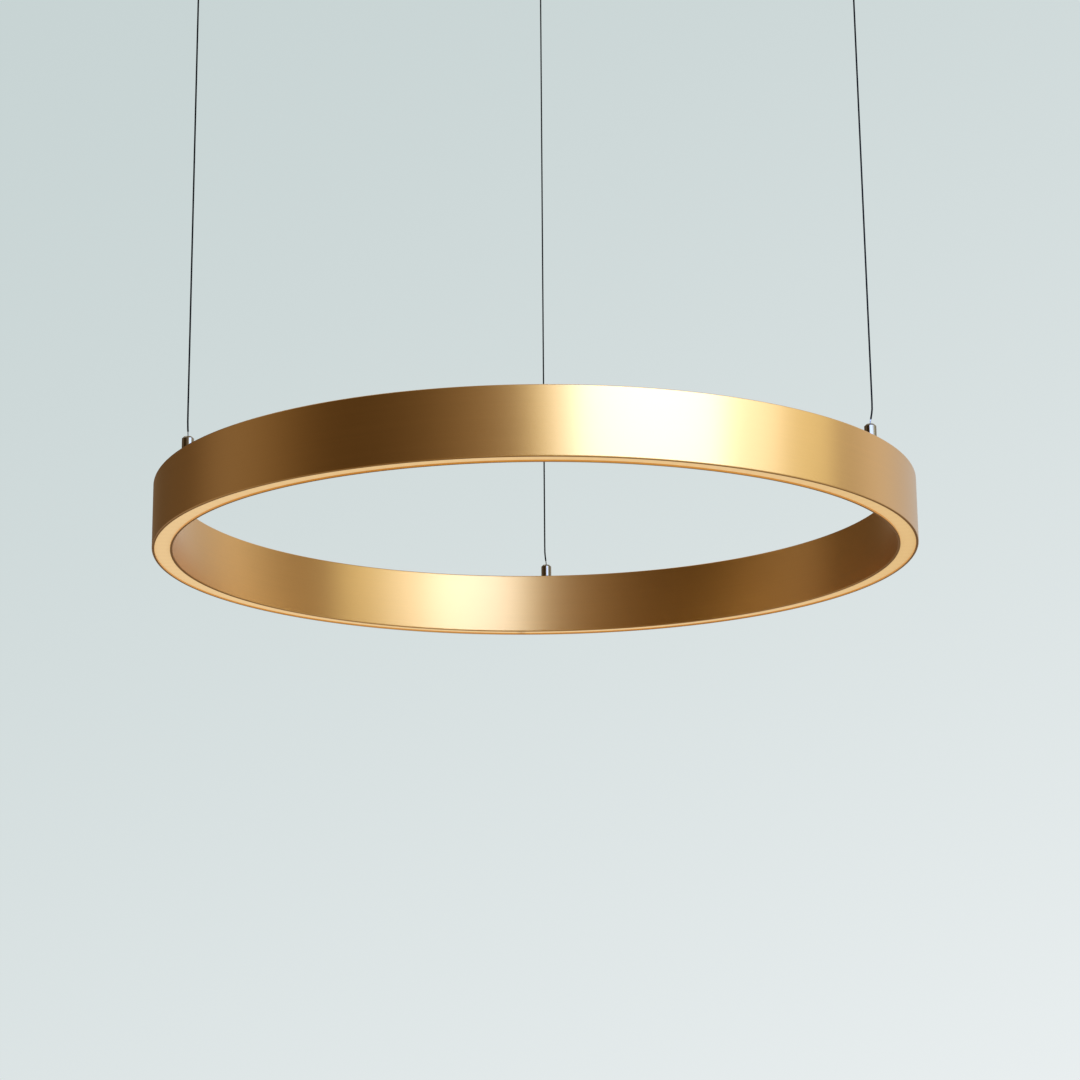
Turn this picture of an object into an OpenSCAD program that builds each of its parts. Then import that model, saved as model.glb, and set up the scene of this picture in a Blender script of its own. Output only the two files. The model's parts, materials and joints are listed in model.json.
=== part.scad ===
// Ring pendant light. A channel ring shines down through an opal strip and hangs level on
// three thin cables. Each cable ends in a swivelling ball in a socket on the ring, and is
// held at the top by a self-locking ball gripper that swivels in a small ceiling cup.
// Millimetres, +Z up. The origin is the centre of the circle of the three ceiling screws,
// in the plane of the ceiling. The back suspension point is on +Y.

/* [Ring] */
// Outside diameter of the ring
ring_od = 600; // [450:10:900]
// Height of the ring from its bottom edge to its top face
ring_h = 51; // [46:1:80]
// Width of the ring from inner to outer face
ring_w = 16; // [15.5:0.5:24]
// Thickness of the two side walls
wall_t = 2; // [1.6:0.1:2.2]
// Thickness of the closed top
top_t = 2.5; // [2:0.1:4]
// Rounding of the four outside edges
edge_r = 0.8; // [0.3:0.1:1.2]
// Ceiling to the ring's bottom edge
drop_h = 700; // [400:10:1500]

/* [Light] */
// Depth of the diffuser's face above the ring's bottom edge
recess = 1.2; // [0.6:0.1:3]
// Thickness of the diffuser's face
diffuser_t = 2; // [1.5:0.1:3]
// Height of the diffuser's snap legs
leg_h = 5; // [4:0.5:8]
// Thickness of the diffuser's snap legs
leg_t = 1; // [0.8:0.1:1.4]
// How far a barb stands out of its leg
barb = 0.6; // [0.3:0.05:0.7]
// Width of the butt joint in the diffuser
seam_gap = 0.4; // [0.2:0.1:1]
// Place of the butt joint, as an angle about the ring
seam_angle = 94.5; // [92:0.5:100]
// Height of the carrier's ledges above the ring's bottom edge
ledge_z = 18; // [15:0.5:22]
// How far the ledges stand out of the walls
ledge_w = 1.2; // [0.8:0.1:1.3]
// Thickness of the ledges
ledge_t = 1.5; // [1:0.1:2]
// Thickness of the carrier plate
carrier_t = 1; // [0.8:0.1:1.5]
// Width of the strip of chips
strip_w = 6; // [5:0.5:6]
// Thickness of the strip
strip_t = 0.3; // [0.2:0.05:0.5]
// Distance from chip to chip along the strip
chip_pitch = 12; // [8:1:20]
// Length of a chip along the strip
chip_l = 3.5; // [2:0.5:5]
// Width of a chip across the strip
chip_w = 2.8; // [1.6:0.2:3]
// Thickness of a chip
chip_t = 0.8; // [0.5:0.1:1.2]

/* [Cable] */
// Diameter of the cable over its black coat
cable_d = 1.3; // [1:0.1:1.6]
// Diameter of the bare steel core
core_d = 0.9; // [0.6:0.1:0.9]
// Length of bare core that shows above a socket
bare_l = 4; // [3:0.5:8]
// Diameter of the crimped ball at the cable's end
ball_d = 3; // [2.6:0.1:3.2]

/* [Socket] */
// Diameter of the socket that shows on the ring
socket_d = 9; // [8.5:0.1:10]
// Height of the socket above its bush
socket_h = 10.7; // [9:0.1:15]
// Height of the socket's conical top
socket_tip_h = 1.5; // [1:0.1:2.5]
// Diameter of the flat at the top of the cone
socket_tip_d = 6; // [4.5:0.1:7]
// Depth of the swivel point below the socket's top
swivel_depth = 4.5; // [3.5:0.1:5.5]
// Diameter of the threaded stem
stem_d = 6; // [5.5:0.1:6]
// Thickness of the bush's flange between ring and socket
bush_t = 0.8; // [0.5:0.1:1.5]
// Wall of the bush's sleeve round the stem
bush_wall = 1; // [0.8:0.1:1.2]
// Thickness of the insulating washer
insulator_t = 1; // [0.8:0.1:1.5]
// Thickness of the steel washer
washer_t = 1; // [0.8:0.1:1.5]
// Thickness of a feed lug
lug_t = 0.8; // [0.5:0.1:1]
// Width of the nut across its flats
nut_af = 10; // [9:0.5:10]
// Height of the nut
nut_h = 5; // [3:0.5:6]
// Outside diameter of a feed lead
lead_d = 1.2; // [0.8:0.1:1.3]

/* [Gripper] */
// Diameter of the gripper's body
gripper_d = 10; // [9.5:0.1:10]
// Length of the gripper's body below the ceiling cup
gripper_l = 22; // [20:0.5:30]
// Diameter of the swivelling ball head
head_d = 14; // [13.4:0.1:16]
// Diameter of the neck under the head
neck_d = 8.6; // [8.2:0.1:8.8]
// Diameter of a clamping ball
clamp_ball_d = 2.4; // [2:0.1:2.5]
// Half angle of the clamping cone
cone_angle = 10; // [8:1:14]
// Diameter of the release plunger's nose
nose_d = 3.4; // [3.2:0.1:3.6]
// How far the nose still stands out below the body when it is pushed in
nose_rest = 3.5; // [2:0.5:6]
// Wire diameter of the release spring
wire_d = 0.5; // [0.3:0.05:0.6]
// Turns of the release spring
spring_turns = 7; // [5:1:9]

/* [Ceiling cup] */
// Outside diameter of the cup
cup_d = 34; // [33:1:60]
// Wall of the cup
cup_wall = 1.5; // [1.2:0.1:2]
// Thickness of the cup's floor
floor_t = 4; // [3.5:0.1:4.5]
// Rounding of the cup's lower edge
cup_edge_r = 2; // [1:0.1:3]
// Thickness of the base disc
base_t = 6; // [5:0.5:10]
// Diameter of the hole for the ceiling screw
screw_hole_d = 4.5; // [3.5:0.1:5.5]
// Diameter of the recess for the ceiling screw's head
screw_head_d = 9; // [8:0.1:11]
// Diameter of the grommet's hole through the base
inlet_d = 6; // [5:0.1:7]
// Bore of the grommet for the supply lead
inlet_bore_d = 3.2; // [2:0.1:4]
// Height of a cable terminal
terminal_h = 10; // [9:0.5:14]
// Side of a cable terminal
terminal_w = 8; // [7:0.1:9]
// Diameter of the terminal's metal barrel
barrel_d = 4.5; // [4:0.1:5]

/* [Motion] */
// Sway of the lamp to each side, in degrees
sway = 8; // [4:1:9]
// How far the ring can be raised through the grippers
raise_h = 12; // [6:1:30]
// Travel of the release plungers
release_l = 1.5; // [1:0.1:2]

/* [Hidden] */

// A cut runs past the face that it opens by this much
eps = 0.5;
// Free play round a piece that only has to fit in
fit_gap = 0.3;
// Radial play of a sliding or turning fit
slide_gap = 0.1;
// Play of the closest fits, also of the ball heads in their seats
snug_gap = 0.05;
// Steps of a full circle on large and on small round pieces
FN_RING = 180;
FN_SMALL = 48;

// Angles of the suspension points about the ring
BACK = 90;
LEFT = 210;
RIGHT = 330;
ALL_SIDES = [BACK, LEFT, RIGHT];
FEED_SIDES = [LEFT, RIGHT];

// Ring section, as radii and heights
ring_out_r = ring_od / 2;
ring_in_r = ring_out_r - ring_w;
ring_mid_r = ring_out_r - ring_w / 2;
ring_bottom_z = -drop_h;
ring_top_z = ring_bottom_z + ring_h;
channel_half = ring_w / 2 - wall_t;

// Snap grooves for the diffuser's barbs
barb_h = 1;
leg_top = recess + diffuser_t + leg_h;
barb_z = leg_top - 2 * barb_h;
groove_play = 0.2;
groove_depth = min(barb + slide_gap, wall_t / 2);

// Carrier, strip and chips, as heights above the ring's bottom edge
carrier_bottom = ledge_z - carrier_t;
strip_bottom = carrier_bottom - strip_t;
lug_count = 12;
lug_angle = 2;
lug_plate_t = 0.8;
lug_hook = 0.6;
strip_end_gap = 0.5;

// Socket stack: the bush on the ring, then the socket; below the top, washers, lug and nut
socket_r = socket_d / 2;
socket_base_z = ring_top_z + bush_t;
socket_top_z = socket_base_z + socket_h;
swivel_z = socket_top_z - swivel_depth;
stem_r = stem_d / 2;
sleeve_r = stem_r + bush_wall;
ball_r = ball_d / 2;
core_r = core_d / 2;
cable_r = cable_d / 2;
under_top_z = ring_top_z - top_t;
insulator_z = under_top_z - insulator_t;
washer_z = insulator_z - washer_t;
lug_z = washer_z - lug_t;
stem_over = 1.5;
stem_end_z = lug_z - nut_h - stem_over;
washer_r = channel_half - 3 * fit_gap;

// Cup stack, from the cup's floor up: ball head, terminal with room to rise, base disc
head_r = head_d / 2;
head_cut = 2;
head_top = head_r - head_cut;
seat_r = head_r + snug_gap;
head_lift = 0.5;
pivot_up = floor_t + head_lift;
tail_gap = 1.5;
rise_room = 3;
cup_h = pivot_up + head_top + tail_gap + terminal_h + raise_h + rise_room + base_t;
pivot_z = pivot_up - cup_h;
cup_r = cup_d / 2;
cup_in_r = cup_r - cup_wall;
cup_top_gap = 0.4;
base_play = 0.2;
base_r = cup_in_r - base_play;
grub_d = 3;
grub_z = -base_t / 2;
groove_t = 1;
grub_tip = 0.8;
key_d = 1.5;
key_depth = 1.2;
grommet_lip = 1;
inlet_x = (base_r + screw_head_d / 2) / 2;

// Gripper, with heights above the swivel point
neck_r = neck_d / 2;
gripper_r = gripper_d / 2;
shoulder_gap = 1.2;
shoulder_z = -(pivot_up + gripper_r * tan(sway) + shoulder_gap);
gripper_bottom = shoulder_z - gripper_l;
clamp_ball_r = clamp_ball_d / 2;
clamp_play = 0.03;
clamp_off = cable_r + clamp_ball_r + clamp_play;
clamp_z = shoulder_z - gripper_l / 2;
cone_r_at_balls = clamp_off + (clamp_ball_r + clamp_play) / cos(cone_angle);
chamber_play = 0.2;
chamber_r = cone_r_at_balls + chamber_play;
nose_r = nose_d / 2;
nose_out = nose_rest + release_l;
guide_r = nose_r + slide_gap;
cable_play = 0.15;
cable_bore_r = cable_r + cable_play;
cage_wall = 0.6;
cage_r = clamp_off + cage_wall;
cage_foot = 0.8;
cage_bottom = clamp_z - clamp_ball_r - cage_foot;
cage_head = 1.3;
flange_bottom = clamp_z + clamp_ball_r + cage_head;
flange_t = 1;
flange_r = chamber_r - chamber_play;
plug_l = 6;
plug_slot_w = 1;
plug_slot_depth = 1.2;
plug_bottom = head_top - plug_l;
spring_r = (flange_r + cable_bore_r) / 2;
// Small bevels of turned pieces
rim = 0.5;
spring_bottom = flange_bottom + flange_t;

// Things on the cables' tails, in the cups
terminal_z = pivot_z + head_top + tail_gap;
barrel_inset = 0.5;
sleeve_l = 6;
sleeve_wall = 0.5;
terminal_screw_r = 1.25;
screw_room = 0.6;
screw_sink = 0.8;
screw_slot_w = 0.5;
screw_heights = [terminal_z + 0.28 * terminal_h, terminal_z + 0.72 * terminal_h];

// Cable: height above the socket's top in lengths of the bare stretch, and share of the
// cable's sideways set that it has there
CABLE_SET = [[0, 0], [0.5, 0.1], [1, 0.3], [2, 0.7], [3, 0.95], [4.5, 1], [6.5, 0.99]];
LAST_SET = CABLE_SET[len(CABLE_SET) - 1];
tail_in_ball = 1;
coat_step = 0.1;
// How far each cable stands over, to +X, just above its socket
BACK_SET = -1.2;
LEFT_SET = -0.5;
RIGHT_SET = 2;
STRAIGHT_POINTS = 12;
CABLE_SIDES = 8;
straight_from = socket_top_z + LAST_SET[0] * bare_l;
straight_to = pivot_z + gripper_bottom - nose_out - gripper_d;

// Feed lead: arc length from its socket, distance out from the channel's middle, height; it
// starts straight, in a crimped barrel
function off_arc(along) = ring_mid_r * (1 / cos(along / ring_mid_r * 180 / PI) - 1);
lead_r = lead_d / 2;
lead_hole_play = 0.2;
lead_exit_x = (strip_w / 2 + channel_half - ledge_w) / 2;
lead_exit = 22;
lead_end_x = chip_w / 2 + lead_r;
lug_barrel_r = 1.4;
lug_reach = 9;
lug_tongue_w = 3.6;
lug_barrel_l = 5;
lead_low = strip_bottom - lead_r - snug_gap;
lead_top = lug_z + lug_t / 2 - ring_bottom_z;
lead_start = lug_reach + 1.5 * lug_t;
lead_fall = 12;
// Curve from the barrel to the carrier, in shares of the way along, out and down
LEAD_CURVE = [[0.77, 0.18, 0.05], [0.91, 0.41, 0.25], [0.98, 0.72, 0.58], [1, 1, 1]];
LEAD_ROUTE = concat(
    [for (y = [lead_start, lug_reach + lug_barrel_l]) [y, off_arc(y), lead_top]],
    [for (s = LEAD_CURVE) [s[0] * lead_exit, s[1] * lead_exit_x, lead_top - s[2] * lead_fall]],
    [
        [lead_exit, lead_exit_x, ledge_z + 2 * ledge_t],
        [lead_exit, lead_exit_x, carrier_bottom],
        [lead_exit, lead_exit_x - 0.3 * lead_r, lead_low + 0.65 * lead_r],
        [lead_exit, lead_exit_x - 1.3 * lead_r, lead_low],
        [lead_exit, lead_end_x, lead_low]
    ]
);

// Points round a path, frames kept steady by a direction that the path never takes
function unit(v) = v / norm(v);
function heading(path, i) =
    unit(path[min(i + 1, len(path) - 1)] - path[max(i - 1, 0)]);
function ring_at(path, i, r, steady, sides) =
    let (ahead = heading(path, i), across = unit(cross(steady, ahead)), up = cross(ahead, across))
    [for (k = [0:sides - 1]) path[i] + r * (cos(360 * k / sides) * across + sin(360 * k / sides) * up)];

// Tube along a path, with a radius for each point, closed at both ends
module tube(path, radii, steady, sides) {
    count = len(path);
    points = [for (i = [0:count - 1]) each ring_at(path, i, radii[i], steady, sides)];
    walls = [
        for (i = [0:count - 2], k = [0:sides - 1])
            let (a = i * sides + k, b = i * sides + (k + 1) % sides)
            each [[a, b + sides, b], [a, a + sides, b + sides]]
    ];
    last = (count - 1) * sides;
    caps = [for (k = [1:sides - 2]) each [[0, k, k + 1], [last, last + k + 1, last + k]]];
    polyhedron(points = points, faces = concat(walls, caps));
}

// Least gap between turns of a wire whose points come at so many to a turn
function least_gap(path, per_turn, d) = min([
    for (i = [0:len(path) - 1], j = [i + per_turn - 1:1:len(path) - 1]) norm(path[i] - path[j])
]) - d;

// Suspension point at an angle about the ring, +X outwards
module at_side(angle) {
    rotate(angle) translate([ring_mid_r, 0, 0]) children();
}

// Round bar about the local Z axis between two heights
module bar(r, low, high) {
    translate([0, 0, low]) cylinder(r = r, h = high - low, $fn = FN_SMALL);
}

// Frustum about the local Z axis between two heights
module frustum(r_low, r_high, low, high) {
    translate([0, 0, low]) cylinder(r1 = r_low, r2 = r_high, h = high - low, $fn = FN_SMALL);
}

// Flat rectangle in the plane of a ring section
module patch(x0, x1, y0, y1) {
    translate([x0, y0]) square([x1 - x0, y1 - y0]);
}

// Rectangle with four true round corners
module rounded_patch(x0, x1, y0, y1, r) {
    patch(x0 + r, x1 - r, y0, y1);
    patch(x0, x1, y0 + r, y1 - r);
    for (x = [x0 + r, x1 - r], y = [y0 + r, y1 - r])
        translate([x, y]) circle(r = r, $fn = FN_SMALL);
}

// Section of the housing, with heights above the ring's bottom edge
module housing_section() {
    inner = ring_in_r + wall_t;
    outer = ring_out_r - wall_t;
    difference() {
        rounded_patch(ring_in_r, ring_out_r, 0, ring_h, edge_r);
        patch(inner, outer, -eps, ring_h - top_t);
        patch(
            inner - groove_depth, outer + groove_depth,
            barb_z, barb_z + barb_h + groove_play
        );
    }
    for (x = [inner - edge_r / 2, outer - ledge_w])
        patch(x, x + ledge_w + edge_r / 2, ledge_z, ledge_z + ledge_t);
}

module ring_housing() {
    color([0.78, 0.60, 0.33])
    difference() {
        translate([0, 0, ring_bottom_z])
            rotate_extrude($fn = FN_RING) housing_section();
        for (angle = ALL_SIDES)
            at_side(angle) bar(sleeve_r + slide_gap, under_top_z - eps, ring_top_z + eps);
    }
}

// One half of the diffuser's section, from the channel's middle outwards
module diffuser_half() {
    half = channel_half - slide_gap;
    patch(0, half, recess, recess + diffuser_t);
    patch(half - leg_t, half, recess, leg_top);
    polygon([
        [half - leg_t, barb_z], [half + barb, barb_z],
        [half + barb, barb_z + 0.3 * barb_h], [half - leg_t, leg_top]
    ]);
}

module diffuser() {
    seam = seam_gap / ring_mid_r * 180 / PI;
    color([0.98, 0.86, 0.66])
    translate([0, 0, ring_bottom_z])
    rotate(seam_angle + seam / 2)
    rotate_extrude(angle = 360 - seam, $fn = FN_RING)
    translate([ring_mid_r, 0]) {
        diffuser_half();
        mirror([1, 0]) diffuser_half();
    }
}

// One snap lug of the carrier: an upright beside the ledge and a hook over it
module carrier_lug_section() {
    face = channel_half - ledge_w - slide_gap;
    hook_z = ledge_z + ledge_t;
    patch(face - lug_plate_t, face, ledge_z - carrier_t / 2, hook_z + lug_plate_t);
    patch(face - lug_plate_t, face + lug_hook, hook_z, hook_z + lug_plate_t);
}

module led_carrier() {
    half = channel_half - fit_gap;
    color([0.80, 0.81, 0.82])
    translate([0, 0, ring_bottom_z])
    difference() {
        union() {
            rotate_extrude($fn = FN_RING) translate([ring_mid_r, 0])
                patch(-half, half, carrier_bottom, ledge_z);
            for (i = [0:lug_count - 1]) {
                middle = (i + 0.5) * 360 / lug_count;
                rotate(middle - lug_angle / 2)
                rotate_extrude(angle = lug_angle, $fn = FN_RING)
                translate([ring_mid_r, 0]) {
                    carrier_lug_section();
                    mirror([1, 0]) carrier_lug_section();
                }
            }
        }
        for (angle = FEED_SIDES)
            rotate(angle + lead_angle(lead_exit))
                translate([ring_mid_r + lead_exit_x, 0, 0])
                bar(lead_r + lead_hole_play, carrier_bottom - eps, ledge_z + eps);
    }
}

module led_strip() {
    cut = (seam_gap + 2 * strip_end_gap) / ring_mid_r * 180 / PI;
    color([0.95, 0.95, 0.93])
    translate([0, 0, ring_bottom_z])
    rotate(seam_angle + cut / 2)
    rotate_extrude(angle = 360 - cut, $fn = FN_RING)
    translate([ring_mid_r, 0]) patch(-strip_w / 2, strip_w / 2, strip_bottom, carrier_bottom);
}

module led_chips() {
    count = floor((2 * PI * ring_mid_r - 2 * strip_end_gap - chip_l) / chip_pitch);
    step = 360 / count;
    color([1, 0.92, 0.55])
    for (i = [0:count - 1])
        rotate(seam_angle + (i + 0.5) * step)
        translate([ring_mid_r - chip_w / 2, -chip_l / 2, ring_bottom_z + strip_bottom - chip_t])
        cube([chip_w, chip_l, chip_t]);
}

// Polished socket: cylinder with a conical top, hollow stem, spherical seat and flared mouth
module cable_socket() {
    mouth_r = core_r / cos(sway) + slide_gap;
    color([0.80, 0.81, 0.83])
    difference() {
        union() {
            bar(socket_r, socket_base_z, socket_top_z - socket_tip_h);
            frustum(socket_r, socket_tip_d / 2, socket_top_z - socket_tip_h, socket_top_z);
            bar(stem_r, stem_end_z, socket_base_z);
        }
        bar(ball_r + 3 * snug_gap, stem_end_z - eps, swivel_z);
        translate([0, 0, swivel_z]) sphere(r = ball_r + snug_gap, $fn = FN_SMALL);
        frustum(
            mouth_r, mouth_r + (swivel_depth + eps) * tan(sway),
            swivel_z, socket_top_z + eps
        );
    }
}

// Stepped bush: a flange under the socket and a sleeve down through the ring's top
module socket_bush() {
    difference() {
        union() {
            bar(socket_r, ring_top_z, socket_base_z);
            bar(sleeve_r, under_top_z + slide_gap, ring_top_z);
        }
        bar(stem_r + snug_gap, under_top_z - eps, socket_base_z + eps);
    }
}

module socket_bushes() {
    color([0.08, 0.08, 0.08])
    for (angle = ALL_SIDES) at_side(angle) socket_bush();
}

module flat_ring(r_out, r_in, low, high) {
    difference() {
        bar(r_out, low, high);
        bar(r_in, low - eps, high + eps);
    }
}

module insulating_washers() {
    color([0.92, 0.92, 0.88])
    for (angle = ALL_SIDES)
        at_side(angle) flat_ring(washer_r, stem_r + slide_gap, insulator_z, under_top_z);
}

module steel_washers() {
    color([0.75, 0.76, 0.78])
    for (angle = ALL_SIDES)
        at_side(angle) flat_ring(washer_r - 2 * snug_gap, stem_r + slide_gap, washer_z, insulator_z);
}

// Hexagon nut with its lower corners taken off, flats towards the channel's walls
module nut(top_z) {
    corner_r = nut_af / 2 / cos(30);
    bevel = corner_r - nut_af / 2;
    difference() {
        intersection() {
            translate([0, 0, top_z - nut_h]) rotate(30) cylinder(r = corner_r, h = nut_h, $fn = 6);
            union() {
                frustum(nut_af / 2, corner_r + bevel, top_z - nut_h, top_z - nut_h + 2 * bevel);
                bar(corner_r + bevel, top_z - nut_h + 2 * bevel, top_z);
            }
        }
        bar(stem_r, top_z - nut_h - eps, top_z + eps);
    }
}

module socket_nuts() {
    color([0.72, 0.73, 0.75]) {
        at_side(BACK) nut(washer_z);
        for (angle = FEED_SIDES) at_side(angle) nut(lug_z);
    }
}

// Ring tongue under the nut, with a crimped barrel for the lead
module feed_lug() {
    middle = lug_z + lug_t / 2;
    flat_ring(washer_r - 2 * snug_gap, stem_r + slide_gap, lug_z, washer_z);
    difference() {
        translate([-lug_tongue_w / 2, 0, lug_z]) cube([lug_tongue_w, lug_reach, lug_t]);
        bar(stem_r + slide_gap, lug_z - eps, washer_z + eps);
    }
    difference() {
        translate([0, lug_reach - lug_t, middle]) rotate([-90, 0, 0])
            cylinder(r = lug_barrel_r, h = lug_barrel_l, $fn = FN_SMALL);
        translate([0, lug_reach, middle]) rotate([-90, 0, 0])
            cylinder(r = lead_r, h = lug_barrel_l + eps, $fn = FN_SMALL);
    }
}

module feed_lugs() {
    color([0.84, 0.68, 0.36])
    for (angle = FEED_SIDES) at_side(angle) feed_lug();
}

// Angle from the socket, and point in space, of a point of the lead's route
function lead_angle(along) = along / ring_mid_r * 180 / PI;
function lead_point(p) =
    let (r = ring_mid_r + p[1], angle = lead_angle(p[0]))
    [r * cos(angle) - ring_mid_r, r * sin(angle), ring_bottom_z + p[2]];

module feed_lead(angle) {
    path = [for (p = LEAD_ROUTE) lead_point(p)];
    at_side(angle) tube(path, [for (p = path) lead_r], [1, 1, 1], CABLE_SIDES);
}

module feed_lead_left() {
    color([0.75, 0.10, 0.08]) feed_lead(LEFT);
}

module feed_lead_right() {
    color([0.08, 0.08, 0.09]) feed_lead(RIGHT);
}

// Route of a cable from its crimped ball to the end of its coat, and of its core if that is bare
function cable_route(set, coat_end, core_end) = concat(
    [[0, 0, swivel_z - tail_in_ball]],
    [
        for (p = CABLE_SET)
            let (x = set * p[1], z = socket_top_z + p[0] * bare_l)
            each p[0] == 1 ? [[x, 0, z], [x, 0, z + coat_step]] : [[x, 0, z]]
    ],
    [
        for (i = [1:STRAIGHT_POINTS])
            let (part = i / STRAIGHT_POINTS)
            [set * LAST_SET[1] * (1 - part), 0, straight_from + (straight_to - straight_from) * part]
    ],
    [[0, 0, coat_end]],
    core_end > coat_end ? [[0, 0, coat_end + coat_step], [0, 0, core_end]] : []
);

module cable(set, coat_end, core_end) {
    path = cable_route(set, coat_end, core_end);
    coat_start = socket_top_z + bare_l + coat_step / 2;
    coat_stop = coat_end + coat_step / 2;
    radii = [for (p = path) p[2] > coat_start && p[2] < coat_stop ? cable_r : core_r];
    color([0.05, 0.05, 0.06]) tube(path, radii, [1, 0, 0], CABLE_SIDES);
}

module cable_back() {
    hang_at(BACK) cable(BACK_SET, terminal_z + sleeve_l, terminal_z + sleeve_l);
}

// The tail of a live cable is bare inside its terminal
module cable_left() {
    hang_at(LEFT) cable(LEFT_SET, terminal_z + barrel_inset, terminal_z + terminal_h / 2);
}

module cable_right() {
    hang_at(RIGHT) cable(RIGHT_SET, terminal_z + barrel_inset, terminal_z + terminal_h / 2);
}

// Cables lean along the row's X axis, so their local frame isn't turned
module hang_at(angle) {
    translate([ring_mid_r * cos(angle), ring_mid_r * sin(angle), 0]) children();
}

module ball_end() {
    color([0.70, 0.71, 0.73])
    difference() {
        translate([0, 0, swivel_z]) sphere(r = ball_r, $fn = FN_SMALL);
        bar(core_r, swivel_z - ball_r - eps, swivel_z + ball_r + eps);
    }
}

module end_sleeve() {
    color([0.70, 0.71, 0.73])
    flat_ring(cable_r + sleeve_wall, cable_r, terminal_z, terminal_z + sleeve_l);
}

// Screw hole from the terminal's outer side to its axis
module screw_way(r, height) {
    translate([0, 0, height]) rotate([0, 90, 0]) cylinder(r = r, h = terminal_w, $fn = FN_SMALL);
}

module terminal_body() {
    color([0.93, 0.93, 0.90])
    difference() {
        translate([-terminal_w / 2, -terminal_w / 2, terminal_z])
            cube([terminal_w, terminal_w, terminal_h]);
        bar(barrel_d / 2 + snug_gap, terminal_z - eps, terminal_z + terminal_h + eps);
        for (height = screw_heights) screw_way(terminal_screw_r + slide_gap, height);
    }
}

module terminal_barrel() {
    low = terminal_z + barrel_inset;
    high = terminal_z + terminal_h - barrel_inset;
    color([0.80, 0.66, 0.36])
    difference() {
        bar(barrel_d / 2, low, high);
        bar(core_r + snug_gap, low - eps, high + eps);
        bar(core_r + barrel_inset, terminal_z + terminal_h / 2, high + eps);
        for (height = screw_heights) screw_way(terminal_screw_r, height);
    }
}

// Clamping screws: the lower one presses the core, the upper one waits for the supply lead
module terminal_screws() {
    tips = [core_r + snug_gap, core_r + screw_room];
    shank_l = terminal_w / 2 - screw_sink;
    color([0.74, 0.75, 0.77])
    for (i = [0, 1])
        difference() {
            translate([tips[i], 0, screw_heights[i]]) rotate([0, 90, 0])
                cylinder(r = terminal_screw_r - snug_gap, h = shank_l, $fn = FN_SMALL);
            translate([tips[i] + shank_l - screw_room, -terminal_w, screw_heights[i] - screw_slot_w / 2])
                cube([terminal_w, 2 * terminal_w, screw_slot_w]);
        }
}

// Gripper body: ball head, neck, barrel; inside, a spring chamber that narrows in a cone
module gripper_body() {
    clamp = pivot_z + clamp_z;
    cone_top = clamp + (chamber_r - cone_r_at_balls) / tan(cone_angle);
    cone_bottom = clamp - (cone_r_at_balls - guide_r) / tan(cone_angle);
    low = pivot_z + gripper_bottom;
    color([0.80, 0.81, 0.83])
    difference() {
        union() {
            intersection() {
                translate([0, 0, pivot_z]) sphere(r = head_r, $fn = FN_RING);
                bar(head_r + eps, pivot_z - head_r, pivot_z + head_top);
            }
            bar(neck_r, pivot_z + shoulder_z, pivot_z);
            frustum(gripper_r - rim, gripper_r, low, low + rim);
            bar(gripper_r, low + rim, pivot_z + shoulder_z - rim);
            frustum(gripper_r, gripper_r - rim, pivot_z + shoulder_z - rim, pivot_z + shoulder_z);
        }
        bar(guide_r, low - eps, cone_bottom + eps);
        frustum(guide_r, chamber_r, cone_bottom, cone_top);
        bar(chamber_r, cone_top, pivot_z + head_top + eps);
    }
}

// Plug in the top of the gripper, with a slot for a screwdriver
module gripper_plug() {
    low = pivot_z + plug_bottom;
    high = pivot_z + head_top;
    color([0.84, 0.68, 0.36])
    difference() {
        bar(chamber_r, low, high);
        bar(cable_r + fit_gap, low - eps, high + eps);
        translate([-plug_slot_w / 2, -head_r, high - plug_slot_depth])
            cube([plug_slot_w, head_d, plug_slot_depth + eps]);
    }
}

// Ball cage, spring flange and release nose, turned in one
module release_plunger() {
    cage = pivot_z + cage_bottom;
    flange = pivot_z + flange_bottom;
    nose = pivot_z + gripper_bottom - nose_out;
    window_r = clamp_ball_r + snug_gap;
    color([0.80, 0.81, 0.83])
    difference() {
        union() {
            frustum(nose_r - rim, nose_r, nose, nose + rim);
            bar(nose_r, nose + rim, cage);
            bar(cage_r, cage, flange);
            bar(flange_r, flange, flange + flange_t);
        }
        bar(cable_bore_r, nose - eps, flange + flange_t + eps);
        for (angle = ALL_SIDES)
            rotate(angle) translate([0, 0, pivot_z + clamp_z]) rotate([0, 90, 0])
                cylinder(r = window_r, h = gripper_d, $fn = FN_SMALL);
    }
}

module clamp_balls() {
    color([0.66, 0.67, 0.70])
    for (angle = ALL_SIDES)
        rotate(angle) translate([clamp_off, 0, pivot_z + clamp_z])
            sphere(r = clamp_ball_r, $fn = FN_SMALL);
}

// Release spring: a helix with a short straight run at each end
SPRING_STEPS = 8;
SPRING_SIDES = 6;
spring_path = let (
    low = pivot_z + spring_bottom + wire_d / 2 + snug_gap,
    high = pivot_z + plug_bottom - wire_d / 2 - snug_gap,
    count = spring_turns * SPRING_STEPS,
    turns = [
        for (i = [0:count])
            let (angle = 360 * i / SPRING_STEPS)
            [spring_r * cos(angle), spring_r * sin(angle), low + (high - low) * i / count]
    ]
) concat(
    [turns[0] - [0, wire_d, 0]],
    turns,
    [turns[count] + [0, wire_d, 0]]
);
echo(str("release spring, least gap between turns: ", least_gap(spring_path, SPRING_STEPS, wire_d)));

module release_spring() {
    color([0.60, 0.61, 0.63])
    tube(spring_path, [for (p = spring_path) wire_d / 2], [0, 0, 1], SPRING_SIDES);
}

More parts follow.
